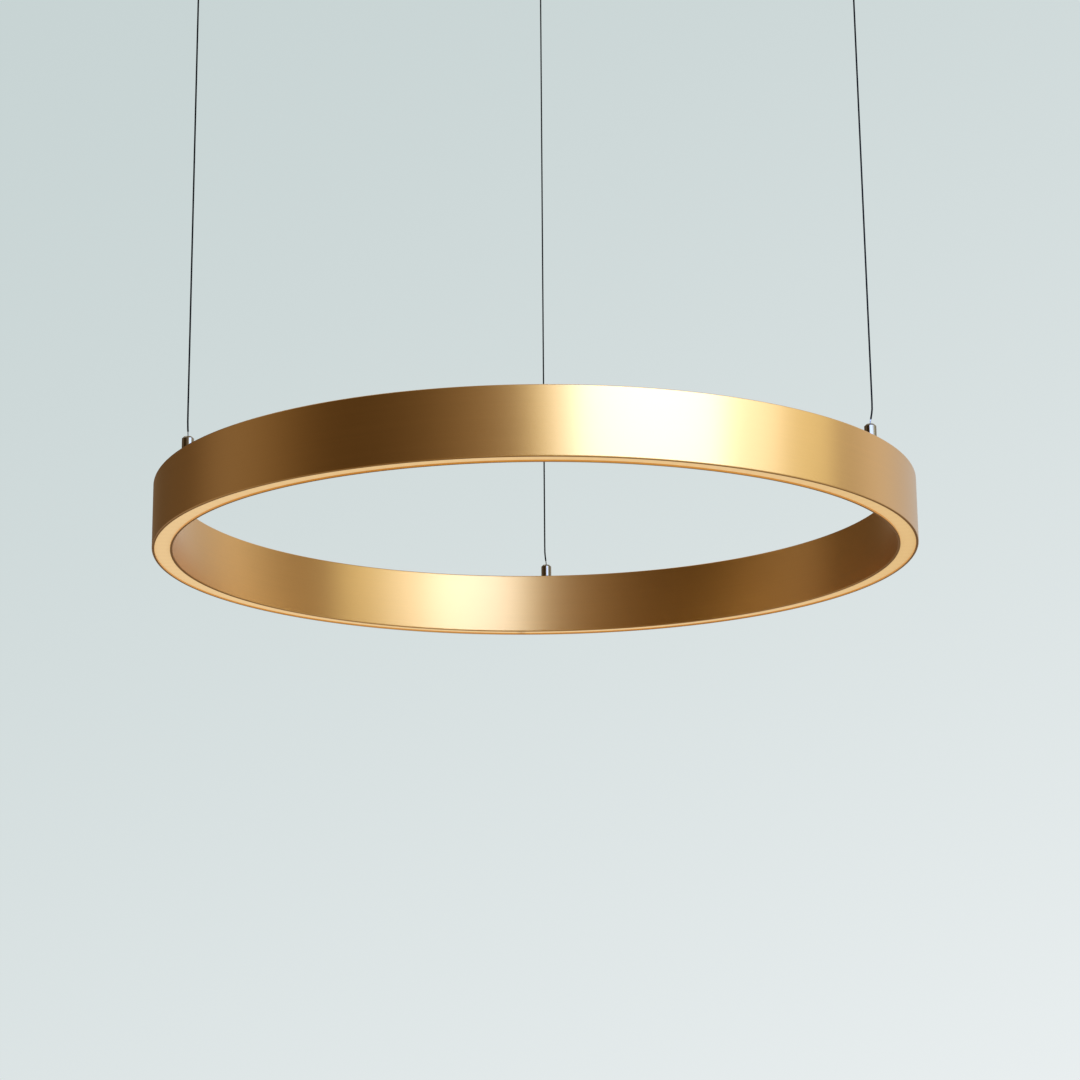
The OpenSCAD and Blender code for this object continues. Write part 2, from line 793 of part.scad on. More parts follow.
// Section of the cup, from the axis out
module cup_section() {
    difference() {
        union() {
            patch(0, cup_r - cup_edge_r, -cup_h, -cup_top_gap);
            patch(0, cup_r, -cup_h + cup_edge_r, -cup_top_gap);
            translate([cup_r - cup_edge_r, -cup_h + cup_edge_r])
                circle(r = cup_edge_r, $fn = FN_SMALL);
        }
        patch(0, cup_in_r, -cup_h + floor_t, eps);
    }
}

// Grub screws stand across the inlet, so that neither meets the other
module at_grub_screws() {
    for (angle = [90, 270])
        rotate(angle) translate([0, 0, grub_z]) rotate([0, 90, 0]) children();
}

module ceiling_cup() {
    // The head swings inside this cone below its seat
    relief_r = neck_r / cos(sway) + slide_gap;
    color([0.78, 0.60, 0.33])
    difference() {
        rotate_extrude($fn = FN_SMALL * 2) cup_section();
        translate([0, 0, pivot_z]) sphere(r = seat_r, $fn = FN_RING);
        frustum(
            relief_r + (pivot_up + eps) * tan(sway), relief_r,
            -cup_h - eps, pivot_z
        );
        at_grub_screws() cylinder(d = grub_d, h = cup_d, $fn = FN_SMALL);
    }
}

// Grub screw from the cup's wall into the groove round the base, with a hexagon socket
module cup_screw() {
    root_r = base_r - groove_t + fit_gap;
    shank_l = cup_r - fit_gap - root_r - grub_tip;
    difference() {
        union() {
            translate([0, 0, root_r])
                cylinder(d1 = grub_d - 2 * grub_tip, d2 = grub_d, h = grub_tip, $fn = FN_SMALL);
            translate([0, 0, root_r + grub_tip]) cylinder(d = grub_d, h = shank_l, $fn = FN_SMALL);
        }
        translate([0, 0, cup_r - key_depth]) cylinder(d = key_d, h = key_depth, $fn = 6);
    }
}

module cup_screws() {
    color([0.55, 0.56, 0.58])
    for (angle = ALL_SIDES) at_side(angle) at_grub_screws() cup_screw();
}

module ceiling_base(with_inlet) {
    head_depth = (screw_head_d - screw_hole_d) / 2;
    color([0.74, 0.75, 0.77])
    difference() {
        bar(base_r, -base_t, 0);
        bar(screw_hole_d / 2, -base_t - eps, eps);
        frustum(screw_head_d / 2 + eps, screw_hole_d / 2, -base_t - eps, -base_t + head_depth);
        // Groove for the grub screws' tips, a V with a flat bottom
        rotate_extrude($fn = FN_SMALL * 2) polygon([
            [base_r - groove_t, grub_z - grub_d / 2 + groove_t],
            [base_r - groove_t, grub_z + grub_d / 2 - groove_t],
            [base_r + eps, grub_z + grub_d / 2 + eps],
            [base_r + eps, grub_z - grub_d / 2 - eps]
        ]);
        if (with_inlet) translate([inlet_x, 0, 0]) bar(inlet_d / 2, -base_t - eps, eps);
    }
}

module inlet_grommets() {
    color([0.10, 0.10, 0.10])
    for (angle = FEED_SIDES) at_side(angle) translate([inlet_x, 0, 0])
        difference() {
            union() {
                bar(inlet_d / 2, -base_t, 0);
                bar(inlet_d / 2 + grommet_lip, -base_t - grommet_lip, -base_t);
            }
            bar(inlet_bore_d / 2, -base_t - grommet_lip - eps, eps);
        }
}

at_side(BACK) ceiling_base(false);  // ceiling_base_back
at_side(LEFT) ceiling_base(true);  // ceiling_base_left
at_side(RIGHT) ceiling_base(true);  // ceiling_base_right
at_side(BACK) ceiling_cup();  // ceiling_cup_back
at_side(LEFT) ceiling_cup();  // ceiling_cup_left
at_side(RIGHT) ceiling_cup();  // ceiling_cup_right
cup_screws();
inlet_grommets();
at_side(BACK) gripper_body();  // gripper_body_back
at_side(LEFT) gripper_body();  // gripper_body_left
at_side(RIGHT) gripper_body();  // gripper_body_right
at_side(BACK) gripper_plug();  // gripper_plug_back
at_side(LEFT) gripper_plug();  // gripper_plug_left
at_side(RIGHT) gripper_plug();  // gripper_plug_right
at_side(BACK) release_spring();  // release_spring_back
at_side(LEFT) release_spring();  // release_spring_left
at_side(RIGHT) release_spring();  // release_spring_right
at_side(BACK) release_plunger();  // release_plunger_back
at_side(LEFT) release_plunger();  // release_plunger_left
at_side(RIGHT) release_plunger();  // release_plunger_right
at_side(BACK) clamp_balls();  // clamp_balls_back
at_side(LEFT) clamp_balls();  // clamp_balls_left
at_side(RIGHT) clamp_balls();  // clamp_balls_right
cable_back();
cable_left();
cable_right();
at_side(BACK) ball_end();  // ball_end_back
at_side(LEFT) ball_end();  // ball_end_left
at_side(RIGHT) ball_end();  // ball_end_right
at_side(BACK) end_sleeve();  // end_sleeve_back
at_side(LEFT) terminal_body();  // terminal_body_left
at_side(RIGHT) terminal_body();  // terminal_body_right
at_side(LEFT) terminal_barrel();  // terminal_barrel_left
at_side(RIGHT) terminal_barrel();  // terminal_barrel_right
at_side(LEFT) terminal_screws();  // terminal_screws_left
at_side(RIGHT) terminal_screws();  // terminal_screws_right
ring_housing();
diffuser();
led_carrier();
led_strip();
led_chips();
at_side(BACK) cable_socket();  // cable_socket_back
at_side(LEFT) cable_socket();  // cable_socket_left
at_side(RIGHT) cable_socket();  // cable_socket_right
socket_bushes();
insulating_washers();
steel_washers();
socket_nuts();
feed_lugs();
feed_lead_left();
feed_lead_right();
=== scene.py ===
"""Ring pendant light: a brushed channel ring that shines down through an opal strip and hangs
on three thin cables from self-locking ball grippers in small ceiling cups.

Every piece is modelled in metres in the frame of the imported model: +Z up, the ceiling at
height 0, the back suspension point on +Y.
"""

import json
import logging
import math
from dataclasses import dataclass
from enum import Enum
from typing import Callable, Iterable, Sequence, Union

import bmesh
import bpy
from mathutils import Matrix, Vector

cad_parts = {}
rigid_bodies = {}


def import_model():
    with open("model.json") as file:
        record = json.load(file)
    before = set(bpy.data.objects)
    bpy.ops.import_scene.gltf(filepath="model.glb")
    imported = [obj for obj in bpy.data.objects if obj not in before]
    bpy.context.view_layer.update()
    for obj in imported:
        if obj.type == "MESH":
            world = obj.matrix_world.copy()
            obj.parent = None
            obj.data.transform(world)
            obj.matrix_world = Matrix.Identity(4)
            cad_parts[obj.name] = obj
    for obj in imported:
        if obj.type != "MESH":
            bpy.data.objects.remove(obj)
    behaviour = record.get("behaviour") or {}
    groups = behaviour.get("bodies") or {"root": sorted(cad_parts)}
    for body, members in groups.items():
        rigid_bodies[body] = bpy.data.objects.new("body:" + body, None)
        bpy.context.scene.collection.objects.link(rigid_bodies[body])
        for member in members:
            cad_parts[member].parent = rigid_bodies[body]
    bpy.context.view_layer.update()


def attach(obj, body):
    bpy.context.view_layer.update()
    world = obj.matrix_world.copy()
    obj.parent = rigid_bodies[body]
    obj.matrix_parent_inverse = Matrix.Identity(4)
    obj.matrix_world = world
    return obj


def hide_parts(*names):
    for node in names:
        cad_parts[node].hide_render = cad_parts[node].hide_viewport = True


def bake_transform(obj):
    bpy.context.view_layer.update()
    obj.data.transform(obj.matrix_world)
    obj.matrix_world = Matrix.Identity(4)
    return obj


LOG = logging.getLogger("ring_pendant")

Colour = tuple[float, float, float, float]
Point = tuple[float, float, float]
Outline = Sequence[tuple[float, float]]
MM = 0.001
NO_LIGHT: Colour = (0.0, 0.0, 0.0, 1.0)
TOUCH = 1e-6  # how near corners are that count as one place


def shade(red: int, green: int, blue: int) -> Colour:
    """Turn a colour as a screen shows it into the renderer's linear one.

    Args:
        red: Red, 0 to 255.
        green: Green, 0 to 255.
        blue: Blue, 0 to 255.

    Returns:
        The linear colour with an alpha of 1.
    """
    def linear(level: int) -> float:
        """Linear share of one channel."""
        part = level / 255
        return part / 12.92 if part <= 0.04045 else ((part + 0.055) / 1.055) ** 2.4

    return (linear(red), linear(green), linear(blue), 1.0)


# ---------------------------------------------------------------------------- shader maths


class Signal:
    """A value that varies over a surface, with Python's operators for its maths."""

    def __init__(self, shader: "Shader", socket: bpy.types.NodeSocket) -> None:
        """Wrap a node's output socket."""
        self.shader = shader
        self.socket = socket

    def __add__(self, other: "Number") -> "Signal":
        """self + other."""
        return self.shader.math("ADD", self, other)

    __radd__ = __add__

    def __sub__(self, other: "Number") -> "Signal":
        """self - other."""
        return self.shader.math("SUBTRACT", self, other)

    def __rsub__(self, other: "Number") -> "Signal":
        """other - self."""
        return self.shader.math("SUBTRACT", other, self)

    def __mul__(self, other: "Number") -> "Signal":
        """self * other."""
        return self.shader.math("MULTIPLY", self, other)

    __rmul__ = __mul__

    def __truediv__(self, other: "Number") -> "Signal":
        """self / other."""
        return self.shader.math("DIVIDE", self, other)

    def __pow__(self, other: "Number") -> "Signal":
        """self to the power of other."""
        return self.shader.math("POWER", self, other)

    def step(self, low: float, high: float) -> "Signal":
        """Rise smoothly from 0 at low to 1 at high."""
        share = (self - low) / (high - low)
        part = self.shader.math("MINIMUM", self.shader.math("MAXIMUM", share, 0), 1)
        return part * part * (3 - 2 * part)


Number = Union[Signal, float, int]
Value = Union[Signal, float, int, bool, tuple]


class Shader:
    """Builds the node tree of a material or a world."""

    def __init__(self, owner: Union[bpy.types.Material, bpy.types.World]) -> None:
        """Start from an empty tree."""
        owner.use_nodes = True
        self.tree = owner.node_tree
        self.tree.nodes.clear()

    def node(
        self,
        kind: str,
        settings: dict[str, object] | None = None,
        inputs: dict[int | str, Value] | None = None,
        output: int | str = 0,
    ) -> Signal:
        """Add a node, set it up and connect it.

        Args:
            kind: Blender's name of the node type.
            settings: The node's own settings, which are set first; "stops" sets a ramp's
                stops as (position, colour) pairs.
            inputs: Numbers, colours, vectors or signals for its input sockets.
            output: The output socket that is wanted.

        Returns:
            That output as a signal.
        """
        made = self.tree.nodes.new(kind)
        for name, value in (settings or {}).items():
            if name == "stops":
                self._set_stops(made.color_ramp, value)
            else:
                setattr(made, name, value)
        for name, value in (inputs or {}).items():
            if isinstance(value, Signal):
                self.tree.links.new(value.socket, made.inputs[name])
            else:
                made.inputs[name].default_value = value
        return Signal(self, made.outputs[output]) if made.outputs else Signal(self, None)

    @staticmethod
    def _set_stops(ramp: bpy.types.ColorRamp, stops: Sequence[tuple[float, Colour]]) -> None:
        """Give a ramp exactly these stops."""
        while len(ramp.elements) > 1:
            ramp.elements.remove(ramp.elements[-1])
        ramp.elements[0].position, ramp.elements[0].color = stops[0]
        for position, colour in stops[1:]:
            ramp.elements.new(position).color = colour

    def math(self, operation: str, first: Number, second: Number = 0.0) -> Signal:
        """Apply one operation of the Math node."""
        return self.node("ShaderNodeMath", {"operation": operation}, {0: first, 1: second})

    def place(self) -> Signal:
        """Position on the piece, in the frame of the model."""
        return self.node("ShaderNodeTexCoord", output="Object")

    def split(self, vector: Signal) -> tuple[Signal, Signal, Signal]:
        """Take a vector apart into its three values."""
        x = self.node("ShaderNodeSeparateXYZ", inputs={0: vector})
        outputs = x.socket.node.outputs
        return x, Signal(self, outputs[1]), Signal(self, outputs[2])

    def radius(self, x: Signal, y: Signal) -> Signal:
        """Distance from the vertical axis."""
        return self.math("SQRT", x * x + y * y)

    def join(self, x: Number, y: Number, z: Number) -> Signal:
        """Put three values together as a vector."""
        return self.node("ShaderNodeCombineXYZ", inputs={0: x, 1: y, 2: z})

    def mix(self, part: Number, first: Value, second: Value) -> Signal:
        """Blend two colours: the first where part is 0, the second where it is 1."""
        return self.node(
            "ShaderNodeMix", {"data_type": "RGBA"}, {0: part, 6: first, 7: second}, output=2
        )

    def noise(
        self, vector: Signal, scale: float, detail: float = 2.0, roughness: float = 0.5
    ) -> Signal:
        """Read a noise pattern around 0.5 whose features are about 1 / scale long."""
        return self.node(
            "ShaderNodeTexNoise",
            inputs={"Vector": vector, "Scale": scale, "Detail": detail, "Roughness": roughness},
        )

    def cells(self, vector: Signal, scale: float) -> Signal:
        """Read one random value for each cell of a cellular pattern."""
        colour = self.node(
            "ShaderNodeTexVoronoi", inputs={"Vector": vector, "Scale": scale}, output="Color"
        )
        return self.split(colour)[0]

    def bump(self, height: Number, distance: float, strength: float = 1.0) -> Signal:
        """Turn a height pattern into a surface relief that is so many metres deep."""
        return self.node(
            "ShaderNodeBump",
            inputs={"Height": height, "Distance": distance, "Strength": strength},
        )

    def surface(self, inputs: dict[str, Value]) -> None:
        """Finish a material as one principled surface with these inputs."""
        made = self.node("ShaderNodeBsdfPrincipled", inputs=inputs)
        self.node("ShaderNodeOutputMaterial", inputs={"Surface": made})


# -------------------------------------------------------------------------------- finishes


@dataclass(frozen=True)
class Finish:
    """What a piece is made of and how its surface was treated."""

    name: str
    colour: Colour
    roughness: float

    def paint(self, shader: Shader) -> None:
        """Build the finish's nodes."""
        raise NotImplementedError

    def material(self) -> bpy.types.Material:
        """Find this finish's material, or build it.

        Returns:
            The one material of this finish.
        """
        made = bpy.data.materials.get(self.name)
        if made is None:
            made = bpy.data.materials.new(self.name)
            self.paint(Shader(made))
            made.diffuse_color = self.colour
        return made

    def dress(self, *pieces: bpy.types.Object) -> None:
        """Give the finish to pieces or CAD nodes.

        Args:
            pieces: The objects to dress.
        """
        for piece in pieces:
            if not piece.material_slots:
                piece.data.materials.append(self.material())
            for slot in piece.material_slots:
                slot.material = self.material()

    def tones(self, shader: Shader, part: Number, spread: float) -> Signal:
        """Vary the colour a little, darker where part is 0 and lighter where it is 1.

        Args:
            shader: The material's builder.
            part: Pattern from 0 to 1.
            spread: Share of the colour's brightness by which it varies.

        Returns:
            The varied colour.
        """
        dark = tuple(c * (1 - spread) for c in self.colour[:3]) + (1.0,)
        light = tuple(min(1.0, c * (1 + spread)) for c in self.colour[:3]) + (1.0,)
        return shader.mix(part, dark, light)


@dataclass(frozen=True)
class BrushedRound(Finish):
    """Anodised metal brushed round the lamp's vertical axis, in long fine scratches."""

    line_scale: float = 5200.0
    slant: float = 1.7
    run_scale: float = 14.0
    wide_run_scale: float = 5.0
    wide_share: float = 0.12
    cloud_scale: float = 9.0
    depth: float = 0.000004
    anisotropic: float = 0.55
    turn: float = 0.25
    coat: float = 0.8
    coat_roughness: float = 0.30
    coat_ior: float = 1.55

    def paint(self, shader: Shader) -> None:
        """Scratches run on circles: fast changes across them, slow ones along them."""
        x, y, z = shader.split(shader.place())
        radius = shader.radius(x, y)
        across = (z + self.slant * radius) * self.line_scale
        run, wide_run = self.run_scale, self.wide_run_scale
        fine = shader.noise(shader.join(x * run, y * run, across), 1.0, 3.0, 0.6)
        wide = shader.noise(
            shader.join(x * wide_run, y * wide_run, across * self.wide_share), 1.0, 2.0, 0.5
        )
        cloud = shader.noise(shader.place(), self.cloud_scale, 3.0, 0.55)
        lines = 0.65 * fine + 0.35 * wide
        shader.surface({
            "Base Color": self.tones(shader, 0.7 * lines + 0.3 * cloud, 0.10),
            "Metallic": 1.0,
            "Roughness": self.roughness + 0.10 * (lines - 0.5) + 0.05 * (cloud - 0.5),
            "Anisotropic": self.anisotropic,
            "Anisotropic Rotation": self.turn,
            "Coat Weight": self.coat,
            "Coat Roughness": self.coat_roughness,
            "Coat IOR": self.coat_ior,
            "Normal": shader.bump(lines, self.depth, 0.6),
        })


@dataclass(frozen=True)
class Polished(Finish):
    """Plated and polished metal with hairlines and a trace of handling."""

    hairline: float = 0.0000015
    lines_turn: Point = (0.3, 0.5, 0.2)
    lines_scale: Point = (300.0, 900.0, 4000.0)
    smudge_scale: float = 160.0

    def paint(self, shader: Shader) -> None:
        """Sparse hairlines and soft smudges change only the gloss."""
        place = shader.place()
        lines = shader.noise(shader.node(
            "ShaderNodeMapping", inputs={0: place, 2: self.lines_turn, 3: self.lines_scale}
        ), 1.0, 4.0, 0.65)
        smudge = shader.noise(place, self.smudge_scale, 3.0, 0.6)
        shader.surface({
            "Base Color": self.tones(shader, smudge, 0.05),
            "Metallic": 1.0,
            "Roughness": self.roughness + 0.06 * smudge.step(0.45, 0.75) + 0.04 * lines,
            "Normal": shader.bump(lines, self.hairline),
        })


@dataclass(frozen=True)
class Plated(Finish):
    """Small hardware: zinc-plated, tinned or bare metal, with cloudy patches and fine grain."""

    grain: float = 2600.0
    depth: float = 0.000006
    patch_scale: float = 420.0
    cloud_scale: float = 240.0

    def paint(self, shader: Shader) -> None:
        """Patches of slightly different tone over a fine grain."""
        place = shader.place()
        patch = shader.cells(place, self.patch_scale)
        cloud = shader.noise(place, self.cloud_scale, 3.0, 0.6)
        grain = shader.noise(place, self.grain, 2.0, 0.6)
        shader.surface({
            "Base Color": self.tones(shader, 0.5 * patch + 0.5 * cloud, 0.12),
            "Metallic": 1.0,
            "Roughness": self.roughness + 0.12 * (cloud - 0.5) + 0.08 * (grain - 0.5),
            "Normal": shader.bump(grain, self.depth, 0.5),
        })


@dataclass(frozen=True)
class CastPaint(Finish):
    """Die-cast metal under a thin fine-textured paint."""

    peel_scale: float = 1500.0
    wave_scale: float = 160.0
    depth: float = 0.00002

    def paint(self, shader: Shader) -> None:
        """The paint's fine orange peel over the casting's slow waves."""
        place = shader.place()
        peel = shader.noise(place, self.peel_scale, 3.0, 0.6)
        wave = shader.noise(place, self.wave_scale, 2.0, 0.5)
        shader.surface({
            "Base Color": self.tones(shader, 0.4 * peel + 0.6 * wave, 0.08),
            "Roughness": self.roughness + 0.10 * (peel - 0.5),
            "Normal": shader.bump(peel + 2 * wave, self.depth, 0.5),
        })


@dataclass(frozen=True)
class Moulded(Finish):
    """Moulded polymer, rubber or pressed fibre."""

    grain: float = 1800.0
    depth: float = 0.00001
    spread: float = 0.10
    cloud_scale: float = 120.0
    specular: float = 0.45

    def paint(self, shader: Shader) -> None:
        """Fine mould grain with slow clouds of tone."""
        place = shader.place()
        grain = shader.noise(place, self.grain, 3.0, 0.6)
        cloud = shader.noise(place, self.cloud_scale, 2.0, 0.5)
        shader.surface({
            "Base Color": self.tones(shader, 0.6 * cloud + 0.4 * grain, self.spread),
            "Roughness": self.roughness + 0.14 * (grain - 0.5),
            "Specular IOR Level": self.specular,
            "Normal": shader.bump(grain, self.depth, 0.6),
        })


@dataclass(frozen=True)
class DrawnCoat(Finish):
    """Extruded polymer coat of a cable: fine die lines along it and a soft gloss.

    Each pair of scales says how fast a pattern changes across the cable and along it.
    """

    die_lines: tuple[float, float] = (5200.0, 40.0)
    scuffs: tuple[float, float] = (300.0, 55.0)
    specular: float = 0.06
    depth: float = 0.000008

    def paint(self, shader: Shader) -> None:
        """Die lines change round the cable and hardly along it."""
        x, y, z = shader.split(shader.place())
        (line_across, line_along), (scuff_across, scuff_along) = self.die_lines, self.scuffs
        lines = shader.noise(
            shader.join(x * line_across, y * line_across, z * line_along), 1.0, 2.0, 0.5
        )
        scuff = shader.noise(
            shader.join(x * scuff_across, y * scuff_across, z * scuff_along), 1.0, 3.0, 0.6
        )
        shader.surface({
            "Base Color": self.tones(shader, 0.5 * lines + 0.5 * scuff, 0.25),
            "Roughness": self.roughness + 0.16 * (scuff - 0.5) + 0.08 * (lines - 0.5),
            "Specular IOR Level": self.specular,
            "Normal": shader.bump(lines, self.depth, 0.5),
        })


@dataclass(frozen=True)
class Strand(Finish):
    """Drawn steel wire of a stranded core, a little dulled between the wires."""

    across_scale: float = 9000.0
    along_scale: float = 700.0
    oil_scale: float = 900.0
    depth: float = 0.000004

    def paint(self, shader: Shader) -> None:
        """Drawing marks along the wires and darker traces of oil."""
        x, y, z = shader.split(shader.place())
        across = self.across_scale
        lines = shader.noise(
            shader.join(x * across, y * across, z * self.along_scale), 1.0, 2.0, 0.5
        )
        oil = shader.noise(shader.place(), self.oil_scale, 3.0, 0.6)
        shader.surface({
            "Base Color": self.tones(shader, 0.5 * lines + 0.5 * oil, 0.2),
            "Metallic": 1.0,
            "Roughness": self.roughness + 0.14 * (oil - 0.5),
            "Normal": shader.bump(lines, self.depth, 0.5),
        })


@dataclass(frozen=True)
class Opal(Finish):
    """Opal polymer lit from behind by a row of chips, a little uneven from chip to chip."""

    glow: Colour = (1.0, 0.7, 0.4, 1.0)
    rim_glow: Colour = (1.0, 0.8, 0.5, 1.0)
    strength: float = 0.8
    mid_radius: float = 0.292
    half_width: float = 0.006
    chips: int = 152
    seam_angle: float = 94.5
    seam_dims: tuple[float, float] = (0.9, 0.1)
    full: float = 0.93
    pulse_share: float = 0.018
    drift_share: float = 0.10
    edge_share: float = 0.08
    seam_share: float = 0.25
    drift_scale: float = 2.2
    grain_scale: float = 900.0
    depth: float = 0.000006

    def paint(self, shader: Shader) -> None:
        """Glow that swells over each chip, drifts round the ring and dims at the butt joint."""
        x, y, _ = shader.split(shader.place())
        radius = shader.radius(x, y)
        angle = shader.math("ARCTAN2", y, x)
        from_seam = angle - math.radians(self.seam_angle)
        pulse = shader.math("COSINE", from_seam * self.chips)
        drift = shader.noise(shader.place(), self.drift_scale, 2.0, 0.5)
        grain = shader.noise(shader.place(), self.grain_scale, 2.0, 0.5)
        off_mid = shader.math("ABSOLUTE", radius - self.mid_radius) / self.half_width
        joint = shader.math("COSINE", from_seam).step(
            *(math.cos(math.radians(angle_off)) for angle_off in self.seam_dims)
        )
        level = (
            self.full - self.pulse_share * pulse + self.drift_share * (drift - 0.5)
            - self.edge_share * off_mid ** 3 - self.seam_share * joint
        )
        colour = shader.mix(drift.step(0.35, 0.65), self.glow, self.rim_glow)
        dimmed = shader.mix(level, NO_LIGHT, colour)
        shader.surface({
            "Base Color": self.tones(shader, grain, 0.03),
            "Roughness": self.roughness + 0.06 * (grain - 0.5),
            "Emission Color": dimmed,
            "Emission Strength": self.strength,
            "Normal": shader.bump(grain, self.depth, 0.4),
        })


@dataclass(frozen=True)
class Board(Finish):
    """Flexible circuit strip: white solder mask with rows of tinned pads."""

    mid_radius: float = 0.292
    cuts: int = 76
    pad_row: float = 0.0018
    pad_length: tuple[float, float] = (0.055, 0.065)
    pad_width: tuple[float, float] = (0.0007, 0.0008)
    tin: Colour = (0.62, 0.6, 0.56, 1.0)
    mask_scale: float = 700.0
    depth: float = 0.00003

    def paint(self, shader: Shader) -> None:
        """Four pads at each place where such a strip can be cut."""
        x, y, _ = shader.split(shader.place())
        radius = shader.radius(x, y)
        angle = shader.math("ARCTAN2", y, x) + math.pi
        phase = shader.math("FRACT", angle * (self.cuts / (2 * math.pi)))
        along = shader.math("ABSOLUTE", phase - 0.5)
        off_mid = shader.math("ABSOLUTE", radius - self.mid_radius)
        across = shader.math("ABSOLUTE", off_mid - self.pad_row)
        pad = (1 - along.step(*self.pad_length)) * (1 - across.step(*self.pad_width))
        mask = shader.noise(shader.place(), self.mask_scale, 2.0, 0.5)
        shader.surface({
            "Base Color": shader.mix(pad, self.tones(shader, mask, 0.04), self.tin),
            "Metallic": pad,
            "Roughness": self.roughness - 0.15 * pad + 0.08 * (mask - 0.5),
            "Normal": shader.bump(pad + 0.1 * mask, self.depth, 0.6),
        })


class Finishes:
    """The finishes of this lamp."""

    RING = BrushedRound("Brushed brass anodising", (0.81, 0.47, 0.135, 1.0), 0.34)
    CUP = BrushedRound("Brushed cup anodising", (0.81, 0.47, 0.135, 1.0), 0.34)
    OPAL = Opal(
        "Lit opal", (0.40, 0.34, 0.26, 1.0), 0.38,
        glow=(0.87, 0.56, 0.22, 1.0), rim_glow=(0.92, 0.62, 0.29, 1.0), strength=0.79,
    )
    NICKEL = Polished("Polished nickel", (0.31, 0.27, 0.20, 1.0), 0.12)
    COAT = DrawnCoat("Black cable coat", (0.004, 0.0045, 0.006, 1.0), 0.55)
    STRAND = Strand("Stranded steel", (0.42, 0.42, 0.42, 1.0), 0.30)
    BLACK = Moulded("Black bush polymer", (0.014, 0.014, 0.015, 1.0), 0.48)
    FIBRE = Moulded("Pale fibre", (0.66, 0.62, 0.50, 1.0), 0.70, grain=900.0, depth=0.00003)
    ZINC = Plated("Zinc-plated steel", (0.60, 0.61, 0.62, 1.0), 0.30)
    STEEL = Plated("Ground steel", (0.52, 0.52, 0.52, 1.0), 0.20, grain=4200.0, depth=0.000003)
    SPRING = Plated("Spring steel", (0.42, 0.42, 0.43, 1.0), 0.28)
    BRASS = Plated("Turned brass", (0.72, 0.52, 0.22, 1.0), 0.28)
    ALUMINIUM = Plated("Plain aluminium", (0.76, 0.77, 0.78, 1.0), 0.36)
    NYLON = Moulded("White nylon", (0.78, 0.77, 0.72, 1.0), 0.50, spread=0.05)
    RUBBER = Moulded("Black rubber", (0.018, 0.018, 0.018, 1.0), 0.68, grain=2400.0)
    RED = Moulded("Red lead insulation", (0.42, 0.018, 0.014, 1.0), 0.42)
    DARK_LEAD = Moulded("Black lead insulation", (0.016, 0.016, 0.017, 1.0), 0.42)
    PHOSPHOR = Moulded("Chip phosphor", (0.80, 0.62, 0.16, 1.0), 0.40, grain=5200.0)
    BOARD = Board("White strip board", (0.80, 0.80, 0.77, 1.0), 0.45)
    CAST = CastPaint("Painted casting", (0.42, 0.42, 0.41, 1.0), 0.52)


# -------------------------------------------------------------------------------- modelling


def activate(piece: bpy.types.Object) -> None:
    """Make a piece the only selected object and the active one."""
    bpy.ops.object.select_all(action="DESELECT")
    piece.select_set(True)
    bpy.context.view_layer.objects.active = piece


def apply_transform() -> None:
    """Apply the selected object's place, turn and size to its mesh."""
    bpy.ops.object.transform_apply(location=True, rotation=True, scale=True)


